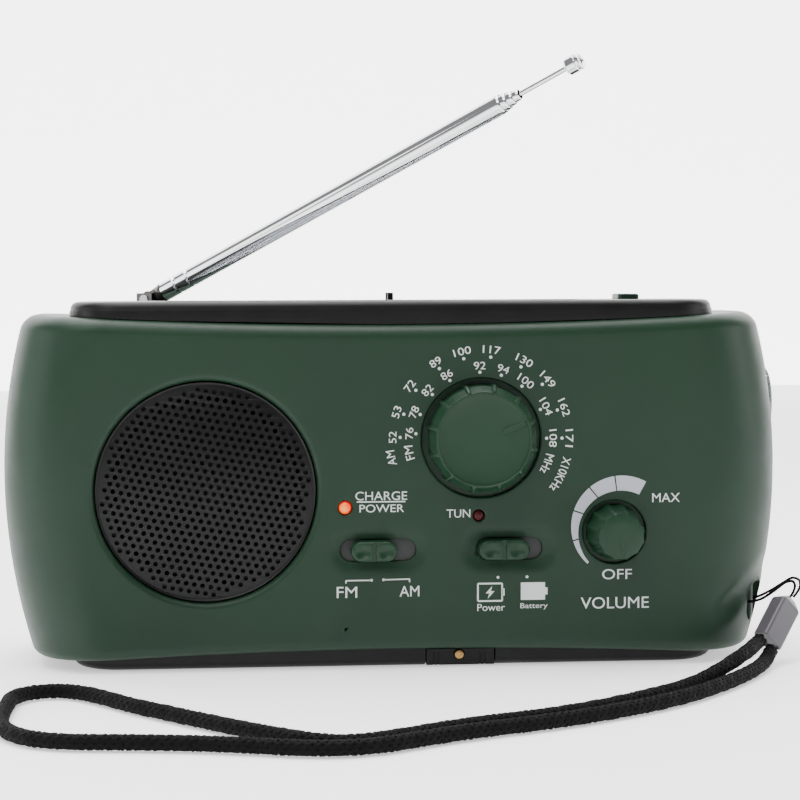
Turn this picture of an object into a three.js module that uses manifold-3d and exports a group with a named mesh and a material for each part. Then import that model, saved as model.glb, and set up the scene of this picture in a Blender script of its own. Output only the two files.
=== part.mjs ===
// Portable emergency radio: green two-part cabinet on a black base, black top cover with a solar cell,
// telescopic antenna, speaker, tuning and volume controls, folding dynamo crank and a wrist strap.
// Millimetres, +Z up, front face towards -Y, origin at the centre of the base's underside.
import * as THREE from 'three';
import { mergeVertices } from 'three/addons/utils/BufferGeometryUtils.js';
import Module from 'manifold-3d';

const wasm = await Module();
wasm.setup();

// ---------- driving dimensions ----------
const HALF_WIDTH = 89.3; // cabinet, at the widest height
const HALF_DEPTH = 27.5;
const CORNER = 18; // plan radius where the front rolls into the sides
const WAIST = 44; // height of the widest point
const BARREL = 6.2; // how far the sides pull in, 38 mm above or below the waist
const BODY_TOP = 77.7;
const BODY_BOTTOM = 4.3;
const FLARE = 2.5; // the cabinet grows this much taller, up and down, at its ends
const FLARE_X = 82;
const WALL = 2.4;
const TOP_Z = 83; // top of the black cover
const GAP = 0.3; // between pieces that touch

const FRONT = -HALF_DEPTH;
const SPEAKER = { x: -43.2, z: 40.5, hole: 24.6, rim: 26.1 };
const TUNING = { x: 18.6, z: 52.1, well: 13.4, skirt: 12.5, face: 11.2, height: 7.3, slope: 2.2, ribs: 0.5 };
const VOLUME = { x: 48.9, z: 30.5, well: 7.15, skirt: 6.5, face: 5.3, height: 10, slope: 9.4, ribs: 0.6 };
const WELL_DEPTH = 1.4;
const SHAFT = 3; // radius of both control shafts
const SWITCH_Z = 27;
const SWITCHES = { // slot centre along X, slot width, cap width and the cap's place from the slot's centre
  band: { x: -4.7, slot: 17, cap: 10.4, offset: -1.05 },
  source: { x: 24.95, slot: 15, cap: 11.6, offset: -1.4 },
};
const SLOT_HEIGHT = 5;
const CAP = { height: 4.6, proud: 2.6 };
const CHARGE_LED = { x: -12.1, z: 36.7, r: 1.5 };
const TUNING_LED = { x: 18.0, z: 34.6, r: 1.25 };

const COVER = { halfWidth: 73.8, front: -25, back: 11.5 };
const SOLAR = { x0: -50, x1: 44, y0: -18, y1: 7 };
const BUTTON = { x: 55.8, y: -3, length: 5, width: 9, top: 84.3 };

const BASE = { halfWidth: 73.5, halfDepth: 24.3 };
const BAY = { x0: 3, x1: 50, y0: -17, y1: 17, top: 14.2 };
const DOOR_TAB = { x0: 6.4, x1: 21.8 };
const CELL = { r: 5.2, length: 44.5, pitch: 11, z: 8.4 };

const CRANK = { x: -34, z: 42, dish: 31, floor: 15.5, reach: 24.5 };
const GEARS = { module: 1, drive: 36, pinion: 10, fine: 0.75, idler: 32, rotor: 8, slack: 0.2 };

const MAST = { pivot: [-56.8, 20, 83.2], azimuth: -32.8, elevation: 24.5 };
const TUBES = [ // outer radius, inner radius, start and end along the mast
  { r: 2.35, bore: 2.15, from: 5, to: 104.5 },
  { r: 2.03, bore: 1.8, from: 14, to: 106 },
  { r: 1.68, bore: 1.45, from: 18, to: 107.5 },
  { r: 1.33, bore: 1.1, from: 22, to: 109 },
];
const ROD = { r: 0.6, foot: 1.0, from: 26, to: 121.5, tip: 2, tipLength: 3.6 };

const LIGHT = { y: -2, z: 58.4, r: 8.6 };
const FLAP = { x0: 88.3, x1: 89.6, y0: -9.9, y1: 12, z0: 37.4, z1: 47.4 };
const GRIP = { r: 4.1, bore: 1.7, from: 3.9, to: 23 }; // ends measured along the handle from its hinge
const LANYARD = { x: 82.1, y: -16.7, z: 13, bar: 1.2, halfLength: 4.6 };
const FERRULE = { neck: [89.8, -25, 14.2], mouth: [83.3, -31, 5.5], r: 3.1 };
const STRAP = { r: 1.7, sides: 8, steps: 52 };
const THREAD = { r: 0.35, sides: 8, steps: 24 };

// the wrist strap, from the ferrule's mouth round its loop on the ground and back
const STRAP_ROUTE = [
  [81.3, -31.9, 6], [79.9, -34.2, 5.6], [76.2, -42, 5.4], [71.5, -48.8, 4.5], [66.6, -54, 3.2],
  [61.2, -59.4, 2.1], [55.5, -65.4, 1.75], [45.6, -75, 1.75], [35.8, -83.2, 1.75], [26.8, -89.2, 1.75],
  [18.2, -93.6, 1.75], [10.2, -97.2, 1.75], [2, -102, 1.75], [-6.2, -107.4, 1.75], [-12.4, -110.8, 1.75],
  [-18, -111.6, 1.75], [-23.4, -109, 1.75], [-29.5, -103.6, 1.75], [-38.4, -94.6, 1.75],
  [-48.4, -83.2, 1.75], [-57.4, -72.8, 1.75], [-63.6, -64.2, 1.75], [-68.2, -58.6, 1.75],
  [-72.6, -55.4, 1.75], [-76.8, -55.3, 1.75], [-80.6, -57.8, 1.75], [-82.8, -62.4, 1.75],
  [-83.2, -70, 1.75], [-83.2, -79, 1.75], [-82.4, -88.4, 1.75], [-79.8, -96.8, 1.75],
  [-75, -102.8, 1.75], [-68.6, -106, 1.75], [-58, -107.6, 1.75], [-44, -110, 1.75], [-33.4, -113, 1.75],
  [-25.4, -115.6, 1.75], [-17.6, -116.4, 1.75], [-10.4, -114.6, 1.75], [-3.6, -110.6, 1.75],
  [4, -106, 1.75], [12, -101.8, 1.75], [20, -98.2, 1.75], [29, -93.4, 1.75], [38.6, -87.4, 1.75],
  [48, -80.4, 1.75], [57, -72, 1.75], [65, -62.6, 1.75], [72.4, -52.4, 1.75], [78.4, -42.4, 1.8],
  [82, -35.4, 2.3], [83.9, -31.9, 3.6],
];

// the thread, from the ferrule's neck round the lanyard bar and back
const THREAD_ROUTE = [
  [89.9, -25.3, 14.5], [90.9, -24.8, 15.9], [91.5, -23.9, 17.2], [91.2, -22.7, 18], [89.8, -22.2, 17.7],
  [88, -21.7, 16.3], [86.2, -21, 14.8], [84.5, -20.1, 13.6], [82.8, -19.4, 13], [81.2, -18.4, 12.8],
  [80.3, -17.1, 12.7], [80.6, -15.6, 12.7], [81.9, -14.7, 12.8], [83.4, -15, 13], [85.2, -16.2, 13.8],
  [87.6, -18.2, 15.5], [89.8, -19.9, 17.3], [91.6, -21.3, 18.6], [92.8, -22.7, 18.2],
  [92.7, -23.8, 16.9], [91.9, -24.2, 15.6], [91, -24.3, 14.5],
];

// ---------- colours ----------
const finish = (color, roughness, metalness = 0) => new THREE.MeshStandardMaterial({ color, roughness, metalness });
const GREEN = finish(0x2f4a3c, 0.5);
const KNOB_GREEN = finish(0x34523f, 0.45);
const BLACK = finish(0x17181a, 0.45);
const MESH_GREY = finish(0x2b2b2d, 0.5, 0.6);
const CHROME = finish(0xd8d9dc, 0.15, 1);
const STEEL = finish(0xa9abad, 0.35, 0.9);
const BRASS = finish(0xb08b4a, 0.35, 0.9);
const CELL_BLUE = finish(0x10182c, 0.3);
const CLEAR = finish(0xe8eef0, 0.08);
const ORANGE = finish(0xff5a1f, 0.3);
const RED = finish(0x5a0d12, 0.3);
const BOARD = finish(0x1d5a35, 0.6);
const PAPER = finish(0x202022, 0.9);
const FERRITE = finish(0x3a3a3c, 0.7, 0.2);
const COPPER = finish(0xb06a3a, 0.45, 0.6);
const NYLON = finish(0xe6e2d6, 0.5);
const WRAP = finish(0x2f6fb0, 0.5);
const RUBBER = finish(0x1c1d1e, 0.85);
const CORD = finish(0x1a1a1c, 0.9);
const GLOSS_GREY = finish(0x4a4c50, 0.25);

// ---------- shape helpers ----------
const radio = new THREE.Group();

function place(name, geometry, material, parent = radio) {
  const mesh = new THREE.Mesh(geometry, material);
  mesh.name = name;
  parent.add(mesh);
  return mesh;
}

function solid(geometry) {
  const bare = geometry.clone();
  bare.deleteAttribute('normal');
  bare.deleteAttribute('uv');
  const merged = mergeVertices(bare, 1e-4);
  return new wasm.Manifold(new wasm.Mesh({
    numProp: 3,
    vertProperties: Float32Array.from(merged.attributes.position.array),
    triVerts: Uint32Array.from(merged.index.array),
  }));
}

function geometryOf(manifold) {
  const { vertProperties, triVerts } = manifold.getMesh();
  const geometry = new THREE.BufferGeometry();
  geometry.setAttribute('position', new THREE.BufferAttribute(Float32Array.from(vertProperties), 3));
  geometry.setIndex(new THREE.BufferAttribute(Uint32Array.from(triVerts), 1));
  geometry.computeVertexNormals();
  return geometry;
}

const join = (first, ...others) => others.reduce((sum, other) => sum.add(other), first);
const cut = (first, ...others) => others.reduce((rest, other) => rest.subtract(other), first);

// a box between two limits along each axis
function block([x0, x1], [y0, y1], [z0, z1]) {
  const box = new THREE.BoxGeometry(x1 - x0, y1 - y0, z1 - z0);
  return box.translate((x0 + x1) / 2, (y0 + y1) / 2, (z0 + z1) / 2);
}

// a round bar between two points, with the second radius at its far end
function bar(from, to, radius, sides = 20, farRadius = radius) {
  const start = new THREE.Vector3(...from);
  const end = new THREE.Vector3(...to);
  const length = start.distanceTo(end);
  const geometry = new THREE.CylinderGeometry(farRadius, radius, length, sides);
  geometry.translate(0, length / 2, 0);
  const turn = new THREE.Quaternion().setFromUnitVectors(
    new THREE.Vector3(0, 1, 0), end.clone().sub(start).normalize());
  return geometry.applyQuaternion(turn).translate(...from);
}

// a turned shape: profile points are [radius, distance along the axis], the axis points along `axis`
function turned(profile, axis, origin, sides = 24) {
  const geometry = new THREE.LatheGeometry(profile.map(([r, d]) => new THREE.Vector2(r, d)), sides);
  const turn = new THREE.Quaternion().setFromUnitVectors(new THREE.Vector3(0, 1, 0), new THREE.Vector3(...axis));
  return geometry.applyQuaternion(turn).translate(...origin);
}

const tube = (outer, inner, from, to) => [[inner, from], [outer, from], [outer, to], [inner, to], [inner, from]];

// a flat outline in X and Z, standing from y0 to y1
function standing(shape, y0, y1, x = 0, z = 0, curveSegments = 8) {
  const geometry = new THREE.ExtrudeGeometry(shape, { depth: y1 - y0, bevelEnabled: false, curveSegments });
  return geometry.rotateX(Math.PI / 2).translate(x, y1, z);
}

function roundedPlan(x0, x1, y0, y1, r, straights = 1) {
  const shape = new THREE.Shape();
  const flat = x1 - x0 - 2 * r;
  shape.moveTo(x0 + r, y0);
  for (let i = 1; i <= straights; i++) shape.lineTo(x0 + r + (flat * i) / straights, y0);
  shape.absarc(x1 - r, y0 + r, r, -Math.PI / 2, 0);
  shape.lineTo(x1, y1 - r);
  shape.absarc(x1 - r, y1 - r, r, 0, Math.PI / 2);
  for (let i = 1; i <= straights; i++) shape.lineTo(x1 - r - (flat * i) / straights, y1);
  shape.absarc(x0 + r, y1 - r, r, Math.PI / 2, Math.PI);
  shape.lineTo(x0, y0 + r);
  shape.absarc(x0 + r, y0 + r, r, Math.PI, Math.PI * 1.5);
  return shape;
}

// ---------- cabinet ----------
// how far the sides pull in at a height
const barrelInset = (z) => BARREL * ((z - WAIST) / 38) ** 2;

// quarter-round inset near an edge: `distance` from the edge, fillet radius r
const fillet = (distance, r) => (distance >= r ? 0 : r - Math.sqrt(r * r - (r - distance) ** 2));

// the cabinet's height grows towards its ends
function flared(x, z) {
  const middle = (BODY_TOP + BODY_BOTTOM) / 2;
  const reach = (z - middle) / (BODY_TOP - middle);
  return z + reach * FLARE * (Math.min(Math.abs(x), FLARE_X) / FLARE_X) ** 2;
}

// a block as deep as the cabinet whose top and bottom follow the flare
function flaredPrism(bottom, top) {
  const reach = 100;
  const steps = 14;
  const xs = Array.from({ length: steps + 1 }, (_, i) => -reach + (2 * reach * i) / steps);
  const outline = new THREE.Shape();
  outline.moveTo(xs[0], flared(xs[0], bottom));
  xs.slice(1).forEach((x) => outline.lineTo(x, flared(x, bottom)));
  [...xs].reverse().forEach((x) => outline.lineTo(x, flared(x, top)));
  return solid(standing(outline, -40, 40));
}

// A barrel-sided block, `inset` inside the cabinet's outer surface, between two flared faces.
function barrelBlock(inset, levels, filletTop, filletBottom, curveSegments) {
  const half = HALF_WIDTH - inset;
  const depth = HALF_DEPTH - inset;
  const r = CORNER - inset;
  const bottom = levels[0];
  const top = levels[levels.length - 1];
  const all = [bottom - 4, ...levels, top + 4];
  const steps = all.length - 1;
  const plan = roundedPlan(-half, half, -depth, depth, r, 6);
  const geometry = new THREE.ExtrudeGeometry(plan, { depth: steps, steps, bevelEnabled: false, curveSegments });
  const flat = half - r;
  const position = geometry.attributes.position;
  for (let i = 0; i < position.count; i++) {
    const x = position.getX(i);
    const y = position.getY(i);
    const z = all[Math.round(position.getZ(i))];
    const within = Math.min(Math.max(z, bottom), top);
    const round = fillet(top - within, filletTop) + fillet(within - bottom, filletBottom);
    const side = barrelInset(within) + round;
    const onStraight = Math.abs(x) <= flat + 1e-6;
    const newX = onStraight ? (x * (flat - side)) / flat : x - Math.sign(x) * side;
    const newY = y - Math.sign(y) * round;
    position.setXYZ(i, newX, newY, flared(newX, z));
  }
  return solid(geometry).intersect(flaredPrism(bottom, top));
}

const outerLevels = [BODY_BOTTOM, 4.9, 6.8, 13, 22, 33, 44, 55, 65, 74.5, 76.2, BODY_TOP];
const cabinetOuter = barrelBlock(0, outerLevels, 3.2, 2.5, 5);
const cavity = barrelBlock(WALL, [6.5, 18, 31, 44, 57, 68, 75.5], 0, 0, 3);
const everywhere = 200;
const frontHalf = solid(block([-everywhere, everywhere], [-everywhere, -0.1], [-everywhere, everywhere]));
const rearHalf = solid(block([-everywhere, everywhere], [0.1, everywhere], [-everywhere, everywhere]));

const bayCut = solid(block([BAY.x0 - 1.7, BAY.x1 + 1.7], [BAY.y0 - 1.7, BAY.y1 + 1.7], [0, 10]));
const buttonCut = solid(block([BUTTON.x - 3.5, BUTTON.x + 3.5], [BUTTON.y - 2.6, BUTTON.y + 2.6], [70, 90]));
const lightCut = solid(bar([70, LIGHT.y, LIGHT.z], [96, LIGHT.y, LIGHT.z], LIGHT.r + GAP, 24));
const jackCut = solid(block([80, 96], [-9.4, 7.4], [39, 46]));
const flapSeat = solid(block(
  [FLAP.x0 - GAP, 96], [FLAP.y0 - GAP, FLAP.y1 + GAP], [FLAP.z0 - GAP, FLAP.z1 + GAP]));
const swivelSeat = solid(bar([MAST.pivot[0], MAST.pivot[1], 76], [MAST.pivot[0], MAST.pivot[1], 90], 3.9, 16));
const swivelHole = solid(bar([MAST.pivot[0], MAST.pivot[1], 70], [MAST.pivot[0], MAST.pivot[1], 90], 1.6, 16));

const SCREW_PLACES = [[-72, 66], [66, 68], [-72, 16], [60, 10]];
const screwCuts = SCREW_PLACES.map(([x, z]) => join(
  solid(bar([x, 23.4, z], [x, 30, z], 3.2, 16)),
  solid(bar([x, -23, z], [x, 30, z], 1.6, 12)),
));
const postOf = (x, z, y0, y1) => solid(bar([x, y0, z], [x, y1, z], 3.2, 12));

// lanyard recess: a pocket round an upright bar, in the lower right front corner
const pocket = solid(new THREE.SphereGeometry(4.8, 14, 10).translate(83.5, -17.5, LANYARD.z));
const pocketWall = solid(new THREE.SphereGeometry(6.4, 10, 8).translate(82.6, -16.6, LANYARD.z));
const lanyardBar = solid(bar([LANYARD.x, LANYARD.y, LANYARD.z - LANYARD.halfLength],
  [LANYARD.x, LANYARD.y, LANYARD.z + LANYARD.halfLength], LANYARD.bar, 12)).intersect(cabinetOuter);

function frontCabinet() {
  let shell = cut(cabinetOuter, cut(cavity, pocketWall));
  shell = shell.intersect(frontHalf);
  const posts = SCREW_PLACES.map(([x, z]) => postOf(x, z, -26, -0.2));
  shell = join(shell, ...posts.map((post) => post.intersect(cabinetOuter)));
  const speakerCut = solid(turned(
    [[0, -8], [SPEAKER.hole, -8], [SPEAKER.hole, 1], [SPEAKER.rim, 2.6], [SPEAKER.rim + 2, 4.6], [0, 4.6]],
    [0, -1, 0], [SPEAKER.x, FRONT + 2.6, SPEAKER.z], 32));
  const wells = [TUNING, VOLUME].flatMap(({ x, z, well }) => [
    solid(bar([x, FRONT - 4, z], [x, FRONT + WELL_DEPTH, z], well, 24)),
    solid(bar([x, FRONT - 4, z], [x, FRONT + 4, z], SHAFT + 0.15, 16)),
  ]);
  const slots = Object.values(SWITCHES).map(({ x, slot }) => solid(block(
    [x - slot / 2, x + slot / 2], [FRONT - 4, FRONT + 4],
    [SWITCH_Z - SLOT_HEIGHT / 2, SWITCH_Z + SLOT_HEIGHT / 2])));
  const lamps = [CHARGE_LED, TUNING_LED].map(({ x, z, r }) =>
    solid(bar([x, FRONT - 4, z], [x, FRONT + 4, z], r + 0.15, 16)));
  const opened = cut(shell, speakerCut, ...wells, ...slots, ...lamps, bayCut, buttonCut, lightCut, jackCut,
    flapSeat, ...screwCuts, pocket);
  return join(opened, lanyardBar);
}

function rearCabinet() {
  const dishWall = solid(bar([CRANK.x, CRANK.floor - 2, CRANK.z], [CRANK.x, 40, CRANK.z], CRANK.dish + 2, 24));
  const dish = solid(bar([CRANK.x, CRANK.floor, CRANK.z], [CRANK.x, 40, CRANK.z], CRANK.dish, 32));
  const axleHole = solid(bar([CRANK.x, 5, CRANK.z], [CRANK.x, 40, CRANK.z], SHAFT + 0.1, 24));
  let shell = cut(cabinetOuter, cut(cavity, dishWall));
  shell = shell.intersect(rearHalf);
  const posts = SCREW_PLACES.map(([x, z]) => postOf(x, z, 0.2, 26).intersect(cabinetOuter));
  shell = join(shell, ...posts);
  return cut(shell, dish, axleHole, bayCut, buttonCut, lightCut, jackCut, flapSeat, swivelSeat, swivelHole,
    ...screwCuts);
}

place('front_cabinet', geometryOf(frontCabinet()), GREEN);
place('rear_cabinet', geometryOf(rearCabinet()), GREEN);

SCREW_PLACES.forEach(([x, z], i) => {
  const screw = turned([[0, 0], [1.3, 0], [1.3, 19], [2.7, 19], [2.7, 21], [0, 21]], [0, 1, 0], [x, 4.8, z], 12);
  place(`cabinet_screw_${i + 1}`, screw, STEEL);
});

// ---------- top cover, solar cell and light button ----------
function extrudedUp(shape, z0, z1, curveSegments = 6) {
  const geometry = new THREE.ExtrudeGeometry(shape, { depth: z1 - z0, bevelEnabled: false, curveSegments });
  return geometry.translate(0, 0, z0);
}

function topCover() {
  const { halfWidth, front, back } = COVER;
  const layers = [[0, 76, 81.6], [0.5, 81, 82.4], [1.5, TOP_Z - 1, TOP_Z]];
  const stack = layers.map(([inset, z0, z1]) => solid(extrudedUp(
    roundedPlan(-halfWidth + inset, halfWidth - inset, front + inset, back, 11), z0, z1)));
  const body = join(...stack);
  const deck = solid(block([SOLAR.x0 - 2, SOLAR.x1 + 2], [SOLAR.y0 - 2, SOLAR.y1 + 2], [80.6, 90]));
  const under = flaredPrism(40, BODY_TOP + GAP);
  const hole = solid(block([BUTTON.x - BUTTON.length / 2 - 0.2, BUTTON.x + BUTTON.length / 2 + 0.2],
    [BUTTON.y - BUTTON.width / 2 - 0.2, BUTTON.y + BUTTON.width / 2 + 0.2], [70, 90]));
  return cut(body, deck, under, hole);
}

place('top_cover', geometryOf(topCover()), BLACK);
place('solar_cell', block([SOLAR.x0, SOLAR.x1], [SOLAR.y0, SOLAR.y1], [80.9, 81.5]), CELL_BLUE);
place('solar_window', block([SOLAR.x0 - 1.6, SOLAR.x1 + 1.6], [SOLAR.y0 - 1.6, SOLAR.y1 + 1.6], [81.7, 82.6]), CLEAR);

const buttonBody = join(
  solid(block([BUTTON.x - BUTTON.length / 2, BUTTON.x + BUTTON.length / 2],
    [BUTTON.y - BUTTON.width / 2, BUTTON.y + BUTTON.width / 2], [81, BUTTON.top])),
  solid(block([BUTTON.x - 2, BUTTON.x + 2], [BUTTON.y - 1.6, BUTTON.y + 1.6], [74.6, 81.4])),
);
place('light_button', geometryOf(buttonBody), KNOB_GREEN);
place('button_switch', block([BUTTON.x - 3, BUTTON.x + 3], [BUTTON.y - 3, BUTTON.y + 3], [68.5, 73]), BLACK);

// ---------- base and battery compartment ----------
function basePlate() {
  const { halfWidth, halfDepth } = BASE;
  const layers = [[3, 0, 1], [1.2, 0.5, 1.5], [0, 1.2, 9]];
  const stack = layers.map(([inset, z0, z1]) => solid(extrudedUp(
    roundedPlan(-halfWidth + inset, halfWidth - inset, -halfDepth + inset, halfDepth - inset, 10), z0, z1)));
  const body = join(...stack);
  const above = flaredPrism(BODY_BOTTOM - GAP, 40);
  const inside = solid(extrudedUp(roundedPlan(-halfWidth + 2, halfWidth - 2, -halfDepth + 2, halfDepth - 2, 8), 1.6, 9));
  const walls = solid(block([BAY.x0 - 1.3, BAY.x1 + 1.3], [BAY.y0 - 1.3, BAY.y1 + 1.3], [0.2, BAY.top + 1.2]));
  const bay = solid(block([BAY.x0, BAY.x1], [BAY.y0, BAY.y1], [-1, BAY.top]));
  const tabWay = solid(block([DOOR_TAB.x0 - GAP, DOOR_TAB.x1 + GAP], [-40, BAY.y0 + 2], [-1, 1.9]));
  const tabFront = solid(block([DOOR_TAB.x0 - GAP, DOOR_TAB.x1 + GAP], [-40, -22.2], [-1, 9]));
  return cut(join(cut(body, above, inside), walls), bay, tabWay, tabFront);
}

function batteryDoor() {
  const plate = solid(block([BAY.x0 + GAP, BAY.x1 - GAP], [BAY.y0 + GAP, BAY.y1 - GAP], [GAP, 1.6]));
  const tongue = solid(block([DOOR_TAB.x0, DOOR_TAB.x1], [-24.2, BAY.y0 + 1], [GAP, 1.6]));
  const lip = solid(block([DOOR_TAB.x0, DOOR_TAB.x1], [-24.2, -22.5], [GAP, 3.9]));
  const screwWay = solid(bar([13.8, -30, 2.75], [13.8, -20, 2.75], 0.75, 12));
  return cut(join(plate, tongue, lip), screwWay);
}

place('base', geometryOf(basePlate()), BLACK);
place('battery_door', geometryOf(batteryDoor()), BLACK);
place('door_screw', turned([[0, 0], [0.65, 0], [0.65, 2.4], [1.1, 2.4], [1.1, 3.1], [0, 3.1]],
  [0, -1, 0], [13.8, -21.9, 2.75], 12), BRASS);

const cellStart = (BAY.x0 + BAY.x1 - CELL.length) / 2;
[-1, 0, 1].forEach((row, i) => {
  const turnAround = row === 0 ? -1 : 1;
  const middle = cellStart + CELL.length / 2;
  const profile = [[0, -0.5], [CELL.r, -0.5], [CELL.r, 0.46], [1.9, 0.46], [1.9, 0.5], [0, 0.5]]
    .map(([r, d]) => [r, d * CELL.length]);
  const cell = turned(profile, [turnAround, 0, 0], [middle, row * CELL.pitch, CELL.z], 16);
  place(`dry_cell_${i + 1}`, cell, WRAP);
});

// ---------- speaker ----------
const backwards = [0, 1, 0];
const speakerAt = (y) => [SPEAKER.x, y, SPEAKER.z];

function grilleProfile() {
  const r = SPEAKER.hole - GAP;
  const rise = 3;
  const arcPoints = 4;
  const outside = [];
  const inside = [];
  for (let i = 0; i <= arcPoints; i++) {
    const at = (r * i) / arcPoints;
    const dome = rise * (1 - (at / r) ** 2);
    outside.push([at, -dome]);
    inside.push([at, 0.8 - dome]);
  }
  return [...outside, ...inside.reverse()];
}
place('speaker_grille', turned(grilleProfile(), backwards, speakerAt(-25.6), 28), MESH_GREY);
const basket = [[21.5, 0], [25.6, 0], [25.6, 1.6], [23, 1.6], [14, 13.4], [13, 13.4], [13, 20.5], [0, 20.5],
  [0, 13], [12.4, 13], [21.5, 1.6], [21.5, 0]];
place('speaker_frame', turned(basket, backwards, speakerAt(-24.5), 22), STEEL);
place('speaker_cone', turned([[0, 9], [6, 9], [18, 1.2], [20.2, 1.2], [20.2, 1.9], [18.2, 1.9], [6.6, 10], [0, 10]],
  backwards, speakerAt(-24.5), 20), PAPER);

// ---------- knobs, shafts and controls ----------
// a knob on its shaft, with raised ribs round it, straight at first and narrowing over its last `slope`
function knob(control, ribs) {
  const perRib = 6;
  const outline = new THREE.Shape();
  for (let i = 0; i < ribs * perRib; i++) {
    const angle = (2 * Math.PI * i) / (ribs * perRib);
    const raised = i % perRib < 2 ? 0 : control.ribs;
    const r = control.skirt - raised;
    if (i === 0) outline.moveTo(r, 0);
    else outline.lineTo(r * Math.cos(angle), r * Math.sin(angle));
  }
  const straight = control.height - control.slope;
  const skirt = new THREE.ExtrudeGeometry(outline, { depth: straight, bevelEnabled: false });
  const crown = new THREE.ExtrudeGeometry(outline, { depth: control.slope, bevelEnabled: false });
  const position = crown.attributes.position;
  const narrow = control.face / control.skirt;
  for (let i = 0; i < position.count; i++) {
    if (position.getZ(i) > control.slope / 2) {
      position.setXY(i, position.getX(i) * narrow, position.getY(i) * narrow);
    }
  }
  crown.translate(0, 0, straight);
  const back = FRONT + WELL_DEPTH - GAP;
  [skirt, crown].forEach((part) => part.rotateX(Math.PI / 2).translate(control.x, back, control.z));
  const shaft = bar([control.x, -16.4, control.z], [control.x, back - 1, control.z], SHAFT, 16);
  return { body: join(solid(skirt), solid(crown)), shaft: solid(shaft) };
}

// a raised pointer bar on a knob's face, `angle` degrees above +X
function pointer(control, from, to, width, angle) {
  const face = FRONT + WELL_DEPTH - GAP - control.height;
  const bar3 = block([from, to], [face - 0.6, face + 1], [-width / 2, width / 2]);
  return solid(bar3.rotateY(THREE.MathUtils.degToRad(-angle)).translate(control.x, 0, control.z));
}

const tuningKnob = knob(TUNING, 12);
place('tuning_knob', geometryOf(join(tuningKnob.body, pointer(TUNING, 4.6, 10.1, 1.3, 20), tuningKnob.shaft)),
  KNOB_GREEN);
const volumeKnob = knob(VOLUME, 12);
place('volume_knob', geometryOf(join(volumeKnob.body, pointer(VOLUME, 1.6, 4.6, 0.7, -82), volumeKnob.shaft)),
  KNOB_GREEN);

function control(width, y0, y1, { x, z }) {
  const body = solid(block([x - width / 2, x + width / 2], [y0, y1], [z - width / 2, z + width / 2]));
  return geometryOf(cut(body, solid(bar([x, y0 - 2, z], [x, y1 - 1.4, z], SHAFT + 0.1, 16))));
}
place('tuning_capacitor', control(20, -24.3, -14.2, TUNING), NYLON);
place('volume_control', control(15.5, -24.3, -14.2, VOLUME), STEEL);

// ---------- slide switches ----------
Object.entries(SWITCHES).forEach(([name, { x, cap: capWidth, offset }]) => {
  const capX = x + offset;
  const halfCap = capWidth / 2;
  const zs = [SWITCH_Z - CAP.height / 2, SWITCH_Z + CAP.height / 2];
  const cap = join(
    solid(block([capX - halfCap, capX + halfCap], [FRONT - CAP.proud, FRONT + 1], zs)),
    solid(block([capX - 1.2, capX + 1.2], [FRONT + 0.5, -22.2], [SWITCH_Z - 1, SWITCH_Z + 1])),
  );
  place(`${name}_switch_cap`, geometryOf(cap), KNOB_GREEN);
  const frame = solid(block([x - 9.5, x + 9.5], [-24.6, -17], [SWITCH_Z - 3.5, SWITCH_Z + 3.5]));
  const way = solid(block([x - 4, x + 4], [-30, -21.6], [SWITCH_Z - 1.3, SWITCH_Z + 1.3]));
  place(`${name}_switch`, geometryOf(cut(frame, way)), STEEL);
});

// ---------- lamps, board and aerial ----------
function lamp(name, { x, z, r }, material) {
  const dome = [[0, 0], [r + 0.4, 0], [r + 0.4, 1], [r, 1], [r, 3.4], [r * 0.7, 4.4], [0, 4.8]];
  place(name, turned(dome, [0, -1, 0], [x, -23.4, z], 12), material);
}
lamp('charge_led', CHARGE_LED, ORANGE);
lamp('tuning_led', TUNING_LED, RED);
place('main_board', block([-15.5, 61], [-13.9, -12.4], [19, 64]), BOARD);
place('ferrite_rod', bar([-22, -5, 70.6], [44, -5, 70.6], 3.6, 14), FERRITE);
place('ferrite_coil', turned(tube(4.6, 3.75, 0, 22), [1, 0, 0], [-16, -5, 70.6], 16), COPPER);

// ---------- crank, gears and dynamo ----------
const aroundCrank = (y) => [CRANK.x, y, CRANK.z];
const armTop = CRANK.floor + 3.4;
const hinge = { y: 23.3, z: CRANK.z - CRANK.reach };

function crankArm() {
  const half = 5;
  const plan = new THREE.Shape();
  plan.moveTo(-half, 0);
  plan.lineTo(-half, -CRANK.reach);
  plan.absarc(0, -CRANK.reach, half, Math.PI, 2 * Math.PI);
  plan.lineTo(half, 0);
  plan.closePath();
  const arm = solid(standing(plan, CRANK.floor + 0.4, armTop, CRANK.x, CRANK.z));
  const hub = solid(bar(aroundCrank(CRANK.floor + 0.4), aroundCrank(armTop), 8.5, 28));
  const ears = [-1, 1].map((side) => solid(block(
    [CRANK.x + side * 3.5 - 1.2, CRANK.x + side * 3.5 + 1.2], [armTop - 1, hinge.y + 2.4],
    [hinge.z - 2.6, hinge.z + 2.6])));
  const pinWay = solid(bar([CRANK.x - 8, hinge.y, hinge.z], [CRANK.x + 8, hinge.y, hinge.z], 1.1, 12));
  const bore = solid(bar(aroundCrank(CRANK.floor - 1), aroundCrank(armTop - 1.2), SHAFT + 0.05, 24));
  return cut(join(arm, hub, ...ears), pinWay, bore);
}

function crankHandle() {
  const { y, z } = hinge;
  const boss = solid(bar([CRANK.x - 2, y, z], [CRANK.x + 2, y, z], 3, 16));
  const stem = solid(bar([CRANK.x, y, z + 1], [CRANK.x, y, z + 24.6], 1.6, 14));
  const head = solid(bar([CRANK.x, y, z + 23.4], [CRANK.x, y, z + 24.6], 2.6, 14));
  const bore = solid(bar([CRANK.x - 4, y, z], [CRANK.x + 4, y, z], 1.1, 12));
  return cut(join(boss, stem, head), bore);
}

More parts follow.
